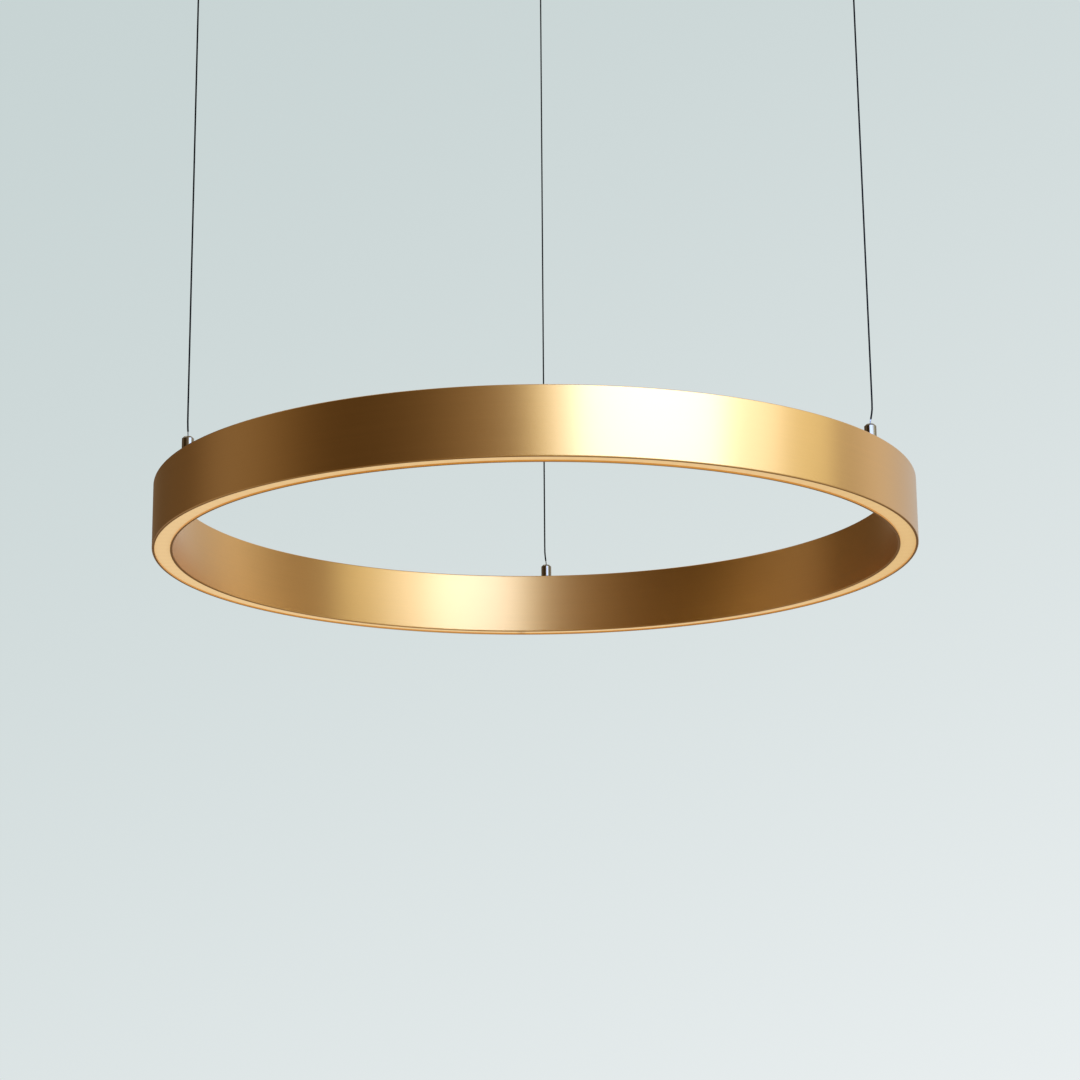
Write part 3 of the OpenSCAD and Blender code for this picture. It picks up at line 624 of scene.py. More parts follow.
class Workpiece:
    """A mesh under work in Blender's edit mode, shaped by its own operators."""

    def __init__(self, name: str) -> None:
        """Take the primitive that was just added."""
        self.piece = bpy.context.object
        self.piece.name = name
        self.piece.data.name = name
        bpy.ops.object.mode_set(mode="EDIT")
        bpy.ops.mesh.select_all(action="SELECT")

    @classmethod
    def from_circle(cls, name: str, centre: Point, radius: float, sides: int) -> "Workpiece":
        """Start from an open circle that lies flat.

        Args:
            name: The piece's name.
            centre: Middle of the circle.
            radius: Its radius.
            sides: Its number of sides.

        Returns:
            The workpiece, with the circle selected.
        """
        bpy.ops.object.select_all(action="DESELECT")
        bpy.ops.mesh.primitive_circle_add(
            vertices=sides, radius=radius, fill_type="NOTHING", location=centre
        )
        return cls(name)

    @classmethod
    def from_plane(
        cls, name: str, centre: Point, turn: Point, size: tuple[float, float]
    ) -> "Workpiece":
        """Start from a rectangle.

        Args:
            name: The piece's name.
            centre: Middle of the rectangle.
            turn: Its rotation about X, Y and Z.
            size: Its two sides.

        Returns:
            The workpiece, with the rectangle selected.
        """
        bpy.ops.object.select_all(action="DESELECT")
        bpy.ops.mesh.primitive_plane_add(size=1, location=centre, rotation=turn)
        bpy.context.object.scale = (size[0], size[1], 1)
        apply_transform()
        return cls(name)

    @classmethod
    def turned(
        cls, name: str, centre: tuple[float, float], outline: Outline, sides: int
    ) -> "Workpiece":
        """Turn a closed outline about a vertical axis, as on a lathe.

        Args:
            name: The piece's name.
            centre: Place of the axis.
            outline: Radius and height of each corner of the section, all the way round it.
            sides: Steps of the full turn.

        Returns:
            The workpiece, closed and with its faces outwards.
        """
        (radius, height), *others = outline
        work = cls.from_circle(name, (*centre, height), radius, sides)
        for next_radius, next_height in [*others, outline[0]]:
            work.extrude((0.0, 0.0, next_height - height))
            grow = next_radius / radius
            bpy.ops.transform.resize(value=(grow, grow, 1), center_override=(*centre, next_height))
            radius, height = next_radius, next_height
        work.close()
        return work

    def extrude(self, step: Point) -> None:
        """Extrude what is selected and move it by a step."""
        bpy.ops.mesh.extrude_region_move(TRANSFORM_OT_translate={"value": step})

    def select(self, kind: str, wanted: Callable[[Vector], bool]) -> None:
        """Select the vertices or edges whose every corner is wanted.

        Args:
            kind: VERT or EDGE.
            wanted: Test of a corner's place.
        """
        bpy.ops.mesh.select_all(action="DESELECT")
        bpy.ops.mesh.select_mode(type=kind)
        mesh = bmesh.from_edit_mesh(self.piece.data)
        for element in mesh.verts if kind == "VERT" else mesh.edges:
            corners = [element] if kind == "VERT" else element.verts
            if all(wanted(corner.co) for corner in corners):
                element.select_set(True)
        mesh.select_flush_mode()
        bmesh.update_edit_mesh(self.piece.data)

    def select_loops(self, places: Outline, centre: tuple[float, float]) -> None:
        """Select the round edges at these radii and heights about a vertical axis."""
        def on_loop(corner: Vector) -> bool:
            """Whether a corner lies on one of the loops."""
            radius = math.hypot(corner.x - centre[0], corner.y - centre[1])
            return any(
                abs(radius - r) < TOUCH and abs(corner.z - z) < TOUCH for r, z in places
            )

        self._to_local()
        self.select("EDGE", on_loop)

    def _to_local(self) -> None:
        """Put the object's origin at the frame's origin, so that corners are at their places."""
        bpy.ops.object.mode_set(mode="OBJECT")
        apply_transform()
        bpy.ops.object.mode_set(mode="EDIT")

    def round_off(
        self, places: Outline, centre: tuple[float, float], radius: float, steps: int
    ) -> None:
        """Round the edges at these radii and heights.

        Args:
            places: Radius and height of each edge.
            centre: Place of the axis.
            radius: The rounding's radius.
            steps: Its number of faces.
        """
        self.select_loops(places, centre)
        bpy.ops.mesh.bevel(offset=radius, segments=steps, profile=0.5, affect="EDGES")

    def close(self) -> None:
        """Merge doubled corners and turn all faces outwards."""
        bpy.ops.mesh.select_mode(type="VERT")
        bpy.ops.mesh.select_all(action="SELECT")
        bpy.ops.mesh.remove_doubles(threshold=TOUCH)
        bpy.ops.mesh.normals_make_consistent(inside=False)

    def cut(self, cutters: Iterable[bpy.types.Object]) -> None:
        """Cut other bodies out of the piece and remove them.

        Args:
            cutters: The bodies, which are used up.
        """
        bpy.ops.object.mode_set(mode="OBJECT")
        for cutter in cutters:
            modifier = self.piece.modifiers.new("Cut", "BOOLEAN")
            modifier.operation, modifier.solver, modifier.object = "DIFFERENCE", "EXACT", cutter
            self._apply(modifier)
            bpy.data.objects.remove(cutter, do_unlink=True)
        activate(self.piece)
        bpy.ops.object.mode_set(mode="EDIT")

    def _apply(self, modifier: bpy.types.Modifier) -> None:
        """Apply one modifier."""
        activate(self.piece)
        bpy.ops.object.modifier_apply(modifier=modifier.name)

    def finish(self, edge: float, sharp: float = 40.0, smooth: float = 32.0) -> bpy.types.Object:
        """Break the sharp edges, smooth the curved faces and put the origin at 0.

        Args:
            edge: Width of the small bevel on every sharp edge.
            sharp: Angle in degrees from which an edge is sharp.
            smooth: Angle in degrees up to which faces shade as one.

        Returns:
            The finished object.
        """
        bpy.ops.object.mode_set(mode="OBJECT")
        modifier = self.piece.modifiers.new("Edges", "BEVEL")
        modifier.width, modifier.segments = edge, 2
        modifier.limit_method, modifier.angle_limit = "ANGLE", math.radians(sharp)
        modifier.harden_normals = False
        self._apply(modifier)
        activate(self.piece)
        bpy.ops.object.shade_smooth_by_angle(angle=math.radians(smooth))
        apply_transform()
        even = self.piece.modifiers.new("Normals", "WEIGHTED_NORMAL")
        even.mode, even.weight, even.keep_sharp = "FACE_AREA", 50, True
        self._apply(even)
        bpy.ops.object.select_all(action="DESELECT")
        return self.piece


class Wire:
    """Round wires or cords that follow given lines."""

    @staticmethod
    def along(
        name: str,
        lines: Sequence[Sequence[Point]],
        radius: float,
        steps: int,
        smooth: float = 50.0,
    ) -> bpy.types.Object:
        """Draw closed-ended round wires along polylines.

        Args:
            name: The piece's name.
            lines: The points of each wire.
            radius: Radius of the wires.
            steps: Extra sides in each quarter of their section.
            smooth: Angle in degrees up to which faces shade as one.

        Returns:
            One mesh of all the wires.
        """
        curve = bpy.data.curves.new(name, "CURVE")
        curve.dimensions, curve.bevel_depth = "3D", radius
        curve.bevel_resolution, curve.use_fill_caps = steps, True
        for line in lines:
            spline = curve.splines.new("POLY")
            spline.points.add(len(line) - 1)
            for point, place in zip(spline.points, line):
                point.co = (*place, 1.0)
        piece = bpy.data.objects.new(name, curve)
        bpy.context.collection.objects.link(piece)
        activate(piece)
        bpy.ops.object.convert(target="MESH")
        piece = bpy.context.object
        piece.name = name
        bpy.ops.object.mode_set(mode="EDIT")
        bpy.ops.mesh.select_all(action="SELECT")
        bpy.ops.mesh.remove_doubles(threshold=TOUCH / 10)
        bpy.ops.mesh.normals_make_consistent(inside=False)
        bpy.ops.object.mode_set(mode="OBJECT")
        bpy.ops.object.shade_smooth_by_angle(angle=math.radians(smooth))
        bpy.ops.object.select_all(action="DESELECT")
        return piece


# ----------------------------------------------------------------------------- sub-assemblies


class Side(Enum):
    """The three suspension points, as angles about the ring."""

    BACK = 90
    LEFT = 210
    RIGHT = 330

    @property
    def word(self) -> str:
        """The side's word in the names of pieces and bodies."""
        return self.name.lower()


@dataclass
class LampSizes:
    """Places that several sub-assemblies share."""

    out_r: float = 300 * MM
    in_r: float = 284 * MM
    mid_r: float = 292 * MM
    bottom: float = -700 * MM
    top: float = -649 * MM

    def centre(self, side: Side) -> tuple[float, float]:
        """Place of a suspension point."""
        angle = math.radians(side.value)
        return self.mid_r * math.cos(angle), self.mid_r * math.sin(angle)


@dataclass
class Ring:
    """The channel ring with its opal strip and the light inside."""

    sizes: LampSizes
    wall: float = 2 * MM
    top_plate: float = 2.5 * MM
    edge_r: float = 0.8 * MM
    hold_gap: float = 0.2 * MM
    ledge_up: float = 18 * MM
    ledge_out: float = 1.2 * MM
    ledge_t: float = 1.5 * MM
    groove_up: float = 6.2 * MM
    groove_h: float = 1.2 * MM
    groove_deep: float = 0.7 * MM
    bush_hole_r: float = 4.1 * MM
    face_up: float = 1.2 * MM
    face_t: float = 2 * MM
    face_half: float = 5.9 * MM
    leg_t: float = 1 * MM
    leg_top: float = 8.2 * MM
    barb_out: float = 0.6 * MM
    barb_flat: float = 0.3 * MM
    barb_end: float = 7.1375 * MM
    joint_gap: float = 0.4 * MM
    joint_angle: float = 94.5
    steps: int = 360
    edge_steps: int = 6
    bore_sides: int = 48
    burr: float = 0.12 * MM
    strip_burr: float = 0.1 * MM

    def housing_outline(self) -> list[tuple[float, float]]:
        """Section of the channel, from its outer bottom corner up, over and down inside.

        Returns:
            Radius and height of each corner.
        """
        low, high = self.sizes.bottom, self.sizes.top
        roof = high - self.top_plate
        outer, inner = self.sizes.out_r - self.wall, self.sizes.in_r + self.wall
        ledge, groove = low + self.ledge_up, low + self.groove_up

        def wall_steps(face: float, way: int) -> list[tuple[float, float]]:
            """Ledge and snap groove on one inner face, from the roof down.

            Args:
                face: Radius of the face.
                way: 1 where the wall lies outside that radius, -1 where it lies inside.

            Returns:
                Radius and height of each corner.
            """
            return [
                (face, roof),
                (face, ledge + self.ledge_t),
                (face - way * self.ledge_out, ledge + self.ledge_t),
                (face - way * self.ledge_out, ledge),
                (face, ledge),
                (face, groove + self.groove_h),
                (face + way * self.groove_deep, groove + self.groove_h),
                (face + way * self.groove_deep, groove),
                (face, groove),
                (face, low),
            ]

        hold = self.edge_r + self.hold_gap
        return [
            (self.sizes.out_r, low), (self.sizes.out_r, low + hold),
            (self.sizes.out_r, high - hold), (self.sizes.out_r, high),
            (self.sizes.out_r - hold, high), (self.sizes.in_r + hold, high),
            (self.sizes.in_r, high), (self.sizes.in_r, high - hold),
            (self.sizes.in_r, low + hold), (self.sizes.in_r, low),
            (self.sizes.in_r + hold, low),
            *reversed(wall_steps(inner, -1)),
            *wall_steps(outer, 1),
            (self.sizes.out_r - hold, low),
        ]

    def make_housing(self) -> bpy.types.Object:
        """Turn the channel, round its outside corners and bore it for the bushes."""
        work = Workpiece.turned("ring_channel", (0.0, 0.0), self.housing_outline(), self.steps)
        corners = [
            (r, z) for r in (self.sizes.out_r, self.sizes.in_r)
            for z in (self.sizes.bottom, self.sizes.top)
        ]
        work.round_off(corners, (0.0, 0.0), self.edge_r, self.edge_steps)
        bpy.ops.object.mode_set(mode="OBJECT")
        work.cut([self._bush_bore(side) for side in Side])
        return work.finish(edge=self.burr)

    def _bush_bore(self, side: Side) -> bpy.types.Object:
        """Cylinder that bores the ring's top for one bush."""
        bpy.ops.mesh.primitive_cylinder_add(
            vertices=self.bore_sides, radius=self.bush_hole_r, depth=4 * self.top_plate,
            location=(*self.sizes.centre(side), self.sizes.top),
        )
        return bpy.context.object

    def make_diffuser(self) -> bpy.types.Object:
        """Build the strip's section from a plate, two legs and two barbs, and spin it round.

        Returns:
            The opal strip, open at its butt joint.
        """
        low = self.sizes.bottom
        face, plate = low + self.face_up, low + self.face_up + self.face_t
        core_half = self.face_half - self.leg_t
        work = Workpiece.from_plane(
            "opal_strip", (self.sizes.mid_r, 0.0, (face + plate) / 2),
            (math.pi / 2, 0.0, 0.0), (2 * core_half, self.face_t),
        )
        for way in (-1, 1):
            edge = self.sizes.mid_r + way * core_half
            work.select("EDGE", lambda corner: abs(corner.x - edge) < TOUCH)
            work.extrude((way * self.leg_t, 0.0, 0.0))
        height = plate
        flat_end = self.groove_up + self.barb_flat
        for level in (self.groove_up, flat_end, self.barb_end, self.leg_top):
            for way in (-1, 1):
                side_x = self.sizes.mid_r + way * (core_half + self.leg_t / 2)
                work.select("EDGE", lambda corner: (
                    abs(corner.z - height) < TOUCH
                    and abs(corner.x - side_x) < self.leg_t / 2 + TOUCH
                ))
                work.extrude((0.0, 0.0, low + level - height))
            height = low + level
        for way in (-1, 1):
            face_x = self.sizes.mid_r + way * self.face_half
            work.select("EDGE", lambda corner: (
                abs(corner.x - face_x) < TOUCH
                and low + self.groove_up - TOUCH < corner.z < low + self.barb_end + TOUCH
            ))
            work.extrude((way * self.barb_out, 0.0, 0.0))
            tip_x = face_x + way * self.barb_out
            work.select("VERT", lambda corner: (
                abs(corner.x - tip_x) < TOUCH
                and abs(corner.z - low - self.barb_end) < TOUCH
            ))
            bpy.ops.transform.translate(value=(-way * self.barb_out, 0.0, 0.0))
        work.close()
        gap = self.joint_gap / self.sizes.mid_r
        bpy.ops.mesh.spin(
            steps=self.steps, angle=2 * math.pi - gap,
            center=(0.0, 0.0, 0.0), axis=(0.0, 0.0, 1.0),
        )
        work.close()
        bpy.ops.object.mode_set(mode="OBJECT")
        self._set_joint(work.piece, gap)
        bpy.ops.object.mode_set(mode="EDIT")
        return work.finish(edge=self.strip_burr)

    def _set_joint(self, piece: bpy.types.Object, gap: float) -> None:
        """Turn the strip until the middle of its joint is at the joint's angle.

        Args:
            piece: The strip, which starts or ends at angle 0.
            gap: Angle of the joint's gap.
        """
        end = max(math.atan2(v.co.y, v.co.x) % (2 * math.pi) for v in piece.data.vertices)
        starts_at_0 = end < 2 * math.pi - gap / 2 - TOUCH
        half = gap / 2 if starts_at_0 else -gap / 2
        piece.rotation_euler.z = math.radians(self.joint_angle) + half
        apply_transform()

    def build(self) -> None:
        """Make the ring and its strip, and dress the pieces inside and under the sockets."""
        housing = self.make_housing()
        Finishes.RING.dress(housing)
        Lamp.hand_over(housing, "lamp", "brass_anodised", "ring_housing")
        diffuser = self.make_diffuser()
        Finishes.OPAL.dress(diffuser)
        Lamp.hand_over(diffuser, "lamp", "opal", "diffuser")
        for finish, names in (
            (Finishes.ALUMINIUM, ("led_carrier",)),
            (Finishes.BOARD, ("led_strip",)),
            (Finishes.PHOSPHOR, ("led_chips",)),
            (Finishes.FIBRE, ("insulating_washers",)),
            (Finishes.ZINC, ("steel_washers", "socket_nuts")),
            (Finishes.BRASS, ("feed_lugs",)),
            (Finishes.RED, ("feed_lead_left",)),
            (Finishes.DARK_LEAD, ("feed_lead_right",)),
            (Finishes.BLACK, ("socket_bushes",)),
        ):
            finish.dress(*(bpy.data.objects[name] for name in names))


@dataclass
class CableSocket:
    """One polished end socket on the ring, with its hollow stem through the ring's top."""

    sizes: LampSizes
    side: Side
    radius: float = 4.5 * MM
    base: float = -648.2 * MM
    top: float = -637.5 * MM
    cone_h: float = 1.5 * MM
    flat_r: float = 3.0 * MM
    stem_r: float = 3.0 * MM
    stem_end: float = -660.8 * MM
    bore_r: float = 1.65 * MM
    seat_r: float = 1.55 * MM
    swivel: float = -642 * MM
    mouth_low_r: float = 0.6545 * MM
    mouth_low_up: float = 1.45 * MM
    mouth_top_r: float = 1.187 * MM
    seat_angles: tuple[int, ...] = (58, 46, 33, 20, 8)
    pitch: float = 0.5 * MM
    thread_depth: float = 0.22 * MM
    turns: int = 16
    lead_in: float = 0.2 * MM
    crest_up: float = 0.22 * MM
    root_up: float = 0.45 * MM
    sides: int = 64
    burr: float = 0.12 * MM

    def outline(self) -> list[tuple[float, float]]:
        """Section from the stem's end up outside, over the cone and down the bore.

        Returns:
            Radius and height of each corner.
        """
        seat = [
            (self.seat_r * math.cos(a), self.swivel + self.seat_r * math.sin(a))
            for a in (math.radians(degrees) for degrees in self.seat_angles)
        ]
        return [
            *self.thread(),
            (self.stem_r, self.base), (self.radius, self.base),
            (self.radius, self.top - self.cone_h), (self.flat_r, self.top),
            (self.mouth_top_r, self.top), (self.mouth_low_r, self.swivel + self.mouth_low_up),
            *seat,
            (self.bore_r, self.swivel), (self.bore_r, self.stem_end),
        ]

    def thread(self) -> list[tuple[float, float]]:
        """Grooves of the stem's thread, from its end up to just under the bush."""
        root_r = self.stem_r - self.thread_depth
        rows = [(root_r, self.stem_end)]
        for i in range(self.turns):
            start = self.stem_end + self.lead_in + i * self.pitch
            rows += [(self.stem_r, start + self.crest_up), (root_r, start + self.root_up)]
        return rows

    def build(self) -> None:
        """Turn the socket, round its edges and dress it."""
        work = Workpiece.turned(
            f"socket_{self.side.word}", self.sizes.centre(self.side), self.outline(), self.sides
        )
        socket = work.finish(edge=self.burr, smooth=24.0)
        Finishes.NICKEL.dress(socket)
        Lamp.hand_over(socket, "lamp", "nickel", f"cable_socket_{self.side.word}")


class Tail(Enum):
    """What is on a cable's tail in its ceiling cup."""

    SLEEVE = "sleeve"
    TERMINAL = "terminal"


@dataclass
class Suspension:
    """One suspension cable, from the ball in its socket to its tail in the ceiling cup."""

    sizes: LampSizes
    side: Side
    tail: Tail
    lean: float
    coat_r: float = 0.65 * MM
    wire_r: float = 0.15 * MM
    socket_top: float = -637.5 * MM
    swivel: float = -642 * MM
    bare: float = 4 * MM
    coat_gap: float = 0.05 * MM
    point_gap: float = 0.5 * MM
    straight_to: float = -80.9 * MM
    straight_steps: int = 12
    tail_z: float = -31 * MM
    sleeve_up: float = 6 * MM
    strip_up: float = 0.5 * MM
    terminal_up: float = 5 * MM
    inside: float = 1 * MM
    lay: float = 6.5 * MM
    strand_step: float = 0.2 * MM

    # The kink: height over the socket in bare lengths, and share of the lean reached there.
    KINK = ((0.0, 0.0), (0.5, 0.1), (1.0, 0.3), (2.0, 0.7), (3.0, 0.95), (4.5, 1.0), (6.5, 0.99))

    @property
    def coat_end(self) -> float:
        """Height at which the coat ends in the cup."""
        return self.tail_z + (self.sleeve_up if self.tail is Tail.SLEEVE else self.strip_up)

    @property
    def core_end(self) -> float:
        """Height at which the steel core ends in the cup."""
        return self.coat_end if self.tail is Tail.SLEEVE else self.tail_z + self.terminal_up

    def line(self) -> list[Point]:
        """Middle line of the whole cable, from the ball up, in its standing kink and on.

        Returns:
            The line's points.
        """
        x, y = self.sizes.centre(self.side)
        knots = [(0.0, self.swivel - self.inside)]
        knots += [(self.lean * part, self.socket_top + up * self.bare) for up, part in self.KINK]
        start_x, start_z = knots[-1]
        steps = self.straight_steps
        knots += [
            (start_x * (1 - i / steps), start_z + (self.straight_to - start_z) * i / steps)
            for i in range(1, steps + 1)
        ]
        knots.append((0.0, self.core_end))
        return [(x + off, y, z) for off, z in knots]

    def at(self, height: float) -> Vector:
        """Point of the middle line at a height."""
        line = self.line()
        for low, high in zip(line, line[1:]):
            if low[2] <= height <= high[2]:
                part = (height - low[2]) / (high[2] - low[2])
                return Vector(low).lerp(Vector(high), part)
        return Vector(line[-1])

    def coat_line(self) -> list[Point]:
        """Middle line of the coat, from where the bare stretch ends."""
        start, end = self.socket_top + self.bare + self.coat_gap, self.coat_end
        low, high = start + self.point_gap, end - self.point_gap
        inner = [point for point in self.line() if low < point[2] < high]
        return [tuple(self.at(start)), *inner, tuple(self.at(end))]

    def strand_lines(self, low: float, high: float) -> list[list[Point]]:
        """Six wires laid round a straight one, between two heights.

        Args:
            low: Height at which the wires start.
            high: Height at which they end.

        Returns:
            The points of the seven wires.
        """
        steps = max(8, round((high - low) / self.strand_step))
        heights = [low + (high - low) * i / steps for i in range(steps + 1)]
        twist = 2 * math.pi / self.lay
        lines = [[tuple(self.at(z)) for z in heights]]
        for wire in range(6):
            phase = wire * math.pi / 3
            lines.append([
                tuple(self.at(z) + 2 * self.wire_r * Vector(
                    (math.cos(phase + twist * z), math.sin(phase + twist * z), 0)
                ))
                for z in heights
            ])
        return lines

    def build(self) -> None:
        word = self.side.word
        body = f"cable_line_{word}"
        path = self.coat_line()
        coat = Wire.along(f"cable_coat_{word}", [path], self.coat_r, steps=4)
        Finishes.COAT.dress(coat)
        Lamp.hand_over(coat, body, "cable_coat", f"cable_{word}")
        lines = self.strand_lines(
            self.swivel - self.inside, self.socket_top + self.bare + self.inside
        )
        if self.tail is Tail.TERMINAL:
            lines += self.strand_lines(self.coat_end - self.inside, self.core_end)
        core = Wire.along(f"cable_core_{word}", lines, self.wire_r, steps=1)
        Finishes.STRAND.dress(core)
        Lamp.hand_over(core, body, "bright_steel")
        nodes = bpy.data.objects
        Finishes.STEEL.dress(nodes[f"ball_end_{word}"])
        fittings = [core, f"ball_end_{word}"]
        if self.tail is Tail.SLEEVE:
            Finishes.STEEL.dress(nodes[f"end_sleeve_{word}"])
            fittings.append(f"end_sleeve_{word}")
        else:
            Finishes.NYLON.dress(nodes[f"terminal_body_{word}"])
            Finishes.BRASS.dress(nodes[f"terminal_barrel_{word}"])
            Finishes.ZINC.dress(nodes[f"terminal_screws_{word}"])
            fittings += [f"terminal_{part}_{word}" for part in ("body", "barrel", "screws")]
        length = sum((Vector(b) - Vector(a)).length for a, b in zip(path, path[1:]))
        2 * self.coat_r
        LOG.info("cable %s: coat %.3f m, kink %.1f mm", word, length, self.lean / MM)


@dataclass
class Gripper:
    """One self-locking ball gripper: body, plug, spring, plunger and three balls."""

    sizes: LampSizes
    side: Side
    spring_r: float = 1.9645 * MM
    spring_low: float = -51.1027 * MM
    spring_high: float = -38.8 * MM
    spring_turns: int = 7
    turn_steps: int = 24
    wire_r: float = 0.25 * MM

    def spring_line(self) -> list[Point]:
        """Points of the coil, with a short straight run at each end.

        Returns:
            The middle line of the wire.
        """
        x, y = self.sizes.centre(self.side)
        count = self.spring_turns * self.turn_steps
        rise = (self.spring_high - self.spring_low) / count
        turn = 2 * math.pi / self.turn_steps
        coil = [
            (
                x + self.spring_r * math.cos(turn * i),
                y + self.spring_r * math.sin(turn * i),
                self.spring_low + rise * i,
            )
            for i in range(count + 1)
        ]
        run = 2 * self.wire_r
        return [
            (coil[0][0], coil[0][1] - run, coil[0][2]), *coil,
            (coil[-1][0], coil[-1][1] + run, coil[-1][2]),
        ]

    def make_spring(self) -> None:
        """Wind the release spring at its rest length (the real one shortens when the plunger is
        pushed up).
        """
        word = self.side.word
        spring = Wire.along(f"coil_spring_{word}", [self.spring_line()], self.wire_r, steps=2)
        Finishes.SPRING.dress(spring)
        x, y = self.sizes.centre(self.side)
        self.spring_low + self.wire_r
        self.spring_high - self.wire_r
        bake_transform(spring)
        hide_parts(f"release_spring_{word}")
        LOG.info("%s: %d faces", spring.name, len(spring.data.polygons))

    def build(self) -> None:
        """Wind the spring and dress the gripper's CAD nodes."""
        self.make_spring()
        nodes, word = bpy.data.objects, self.side.word
        Finishes.NICKEL.dress(nodes[f"gripper_body_{word}"], nodes[f"release_plunger_{word}"])
        Finishes.BRASS.dress(nodes[f"gripper_plug_{word}"])
        Finishes.STEEL.dress(nodes[f"clamp_balls_{word}"])


@dataclass
class CeilingSet:
    """Bases, cups, grub screws and grommets on the ceiling."""

    def build(self) -> None:
        """Dress the ceiling's CAD nodes."""
        nodes = bpy.data.objects
        for side in Side:
            Finishes.CUP.dress(nodes[f"ceiling_cup_{side.word}"])
            Finishes.CAST.dress(nodes[f"ceiling_base_{side.word}"])
        Finishes.STEEL.dress(nodes["cup_screws"])
        Finishes.RUBBER.dress(nodes["inlet_grommets"])


@dataclass
class Lamp:
    """The whole pendant light."""

    sizes: LampSizes

    @staticmethod
    def hand_over(piece: bpy.types.Object, body: str, slot: str, *nodes: str) -> None:
        """Let a piece ride on its body and stand for its CAD nodes.

        Args:
            piece: The finished piece.
            body: The body that it moves with.
            slot: The record's material slot; not used.
            nodes: The CAD nodes that it replaces.
        """
        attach(piece, body)
        if nodes:
            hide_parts(*nodes)
        LOG.info("%s: %d faces on %s", piece.name, len(piece.data.polygons), body)

    def build(self) -> None:
        """Build the sub-assemblies, from the cables down and then up."""
        for side, tail, lean in (
            (Side.BACK, Tail.SLEEVE, -1.2 * MM),
            (Side.LEFT, Tail.TERMINAL, -0.5 * MM),
            (Side.RIGHT, Tail.TERMINAL, 2.0 * MM),
        ):
            Suspension(self.sizes, side, tail, lean).build()
        Ring(self.sizes).build()
        for side in Side:
            CableSocket(self.sizes, side).build()
            Gripper(self.sizes, side).build()
        CeilingSet().build()


# ------------------------------------------------------------------------------------ studio


@dataclass
class Softbox:
    """A rectangular soft light that faces a point."""

    name: str
    azimuth: float
    elevation: float
    distance: float
    size: tuple[float, float]
    radiance: float
    colour: tuple[float, float, float] = (1.0, 1.0, 1.0)

    def build(self, target: Point) -> None:
        """Place the light round the target, azimuth 0 towards the camera and 90 to its right.

        Args:
            target: The point that it faces.
        """
        azimuth, elevation = math.radians(self.azimuth), math.radians(self.elevation)
        away = Vector((
            math.sin(azimuth) * math.cos(elevation),
            -math.cos(azimuth) * math.cos(elevation),
            math.sin(elevation),
        ))
        lamp = bpy.data.lights.new(self.name, "AREA")
        lamp.shape, lamp.size, lamp.size_y = "RECTANGLE", self.size[0], self.size[1]
        lamp.energy = self.radiance * math.pi * self.size[0] * self.size[1]
        lamp.color = self.colour
        holder = bpy.data.objects.new(self.name, lamp)
        bpy.context.collection.objects.link(holder)
        holder.location = Vector(target) + away * self.distance
        holder.rotation_euler = away.to_track_quat("Z", "Y").to_euler()
        holder.visible_camera = False


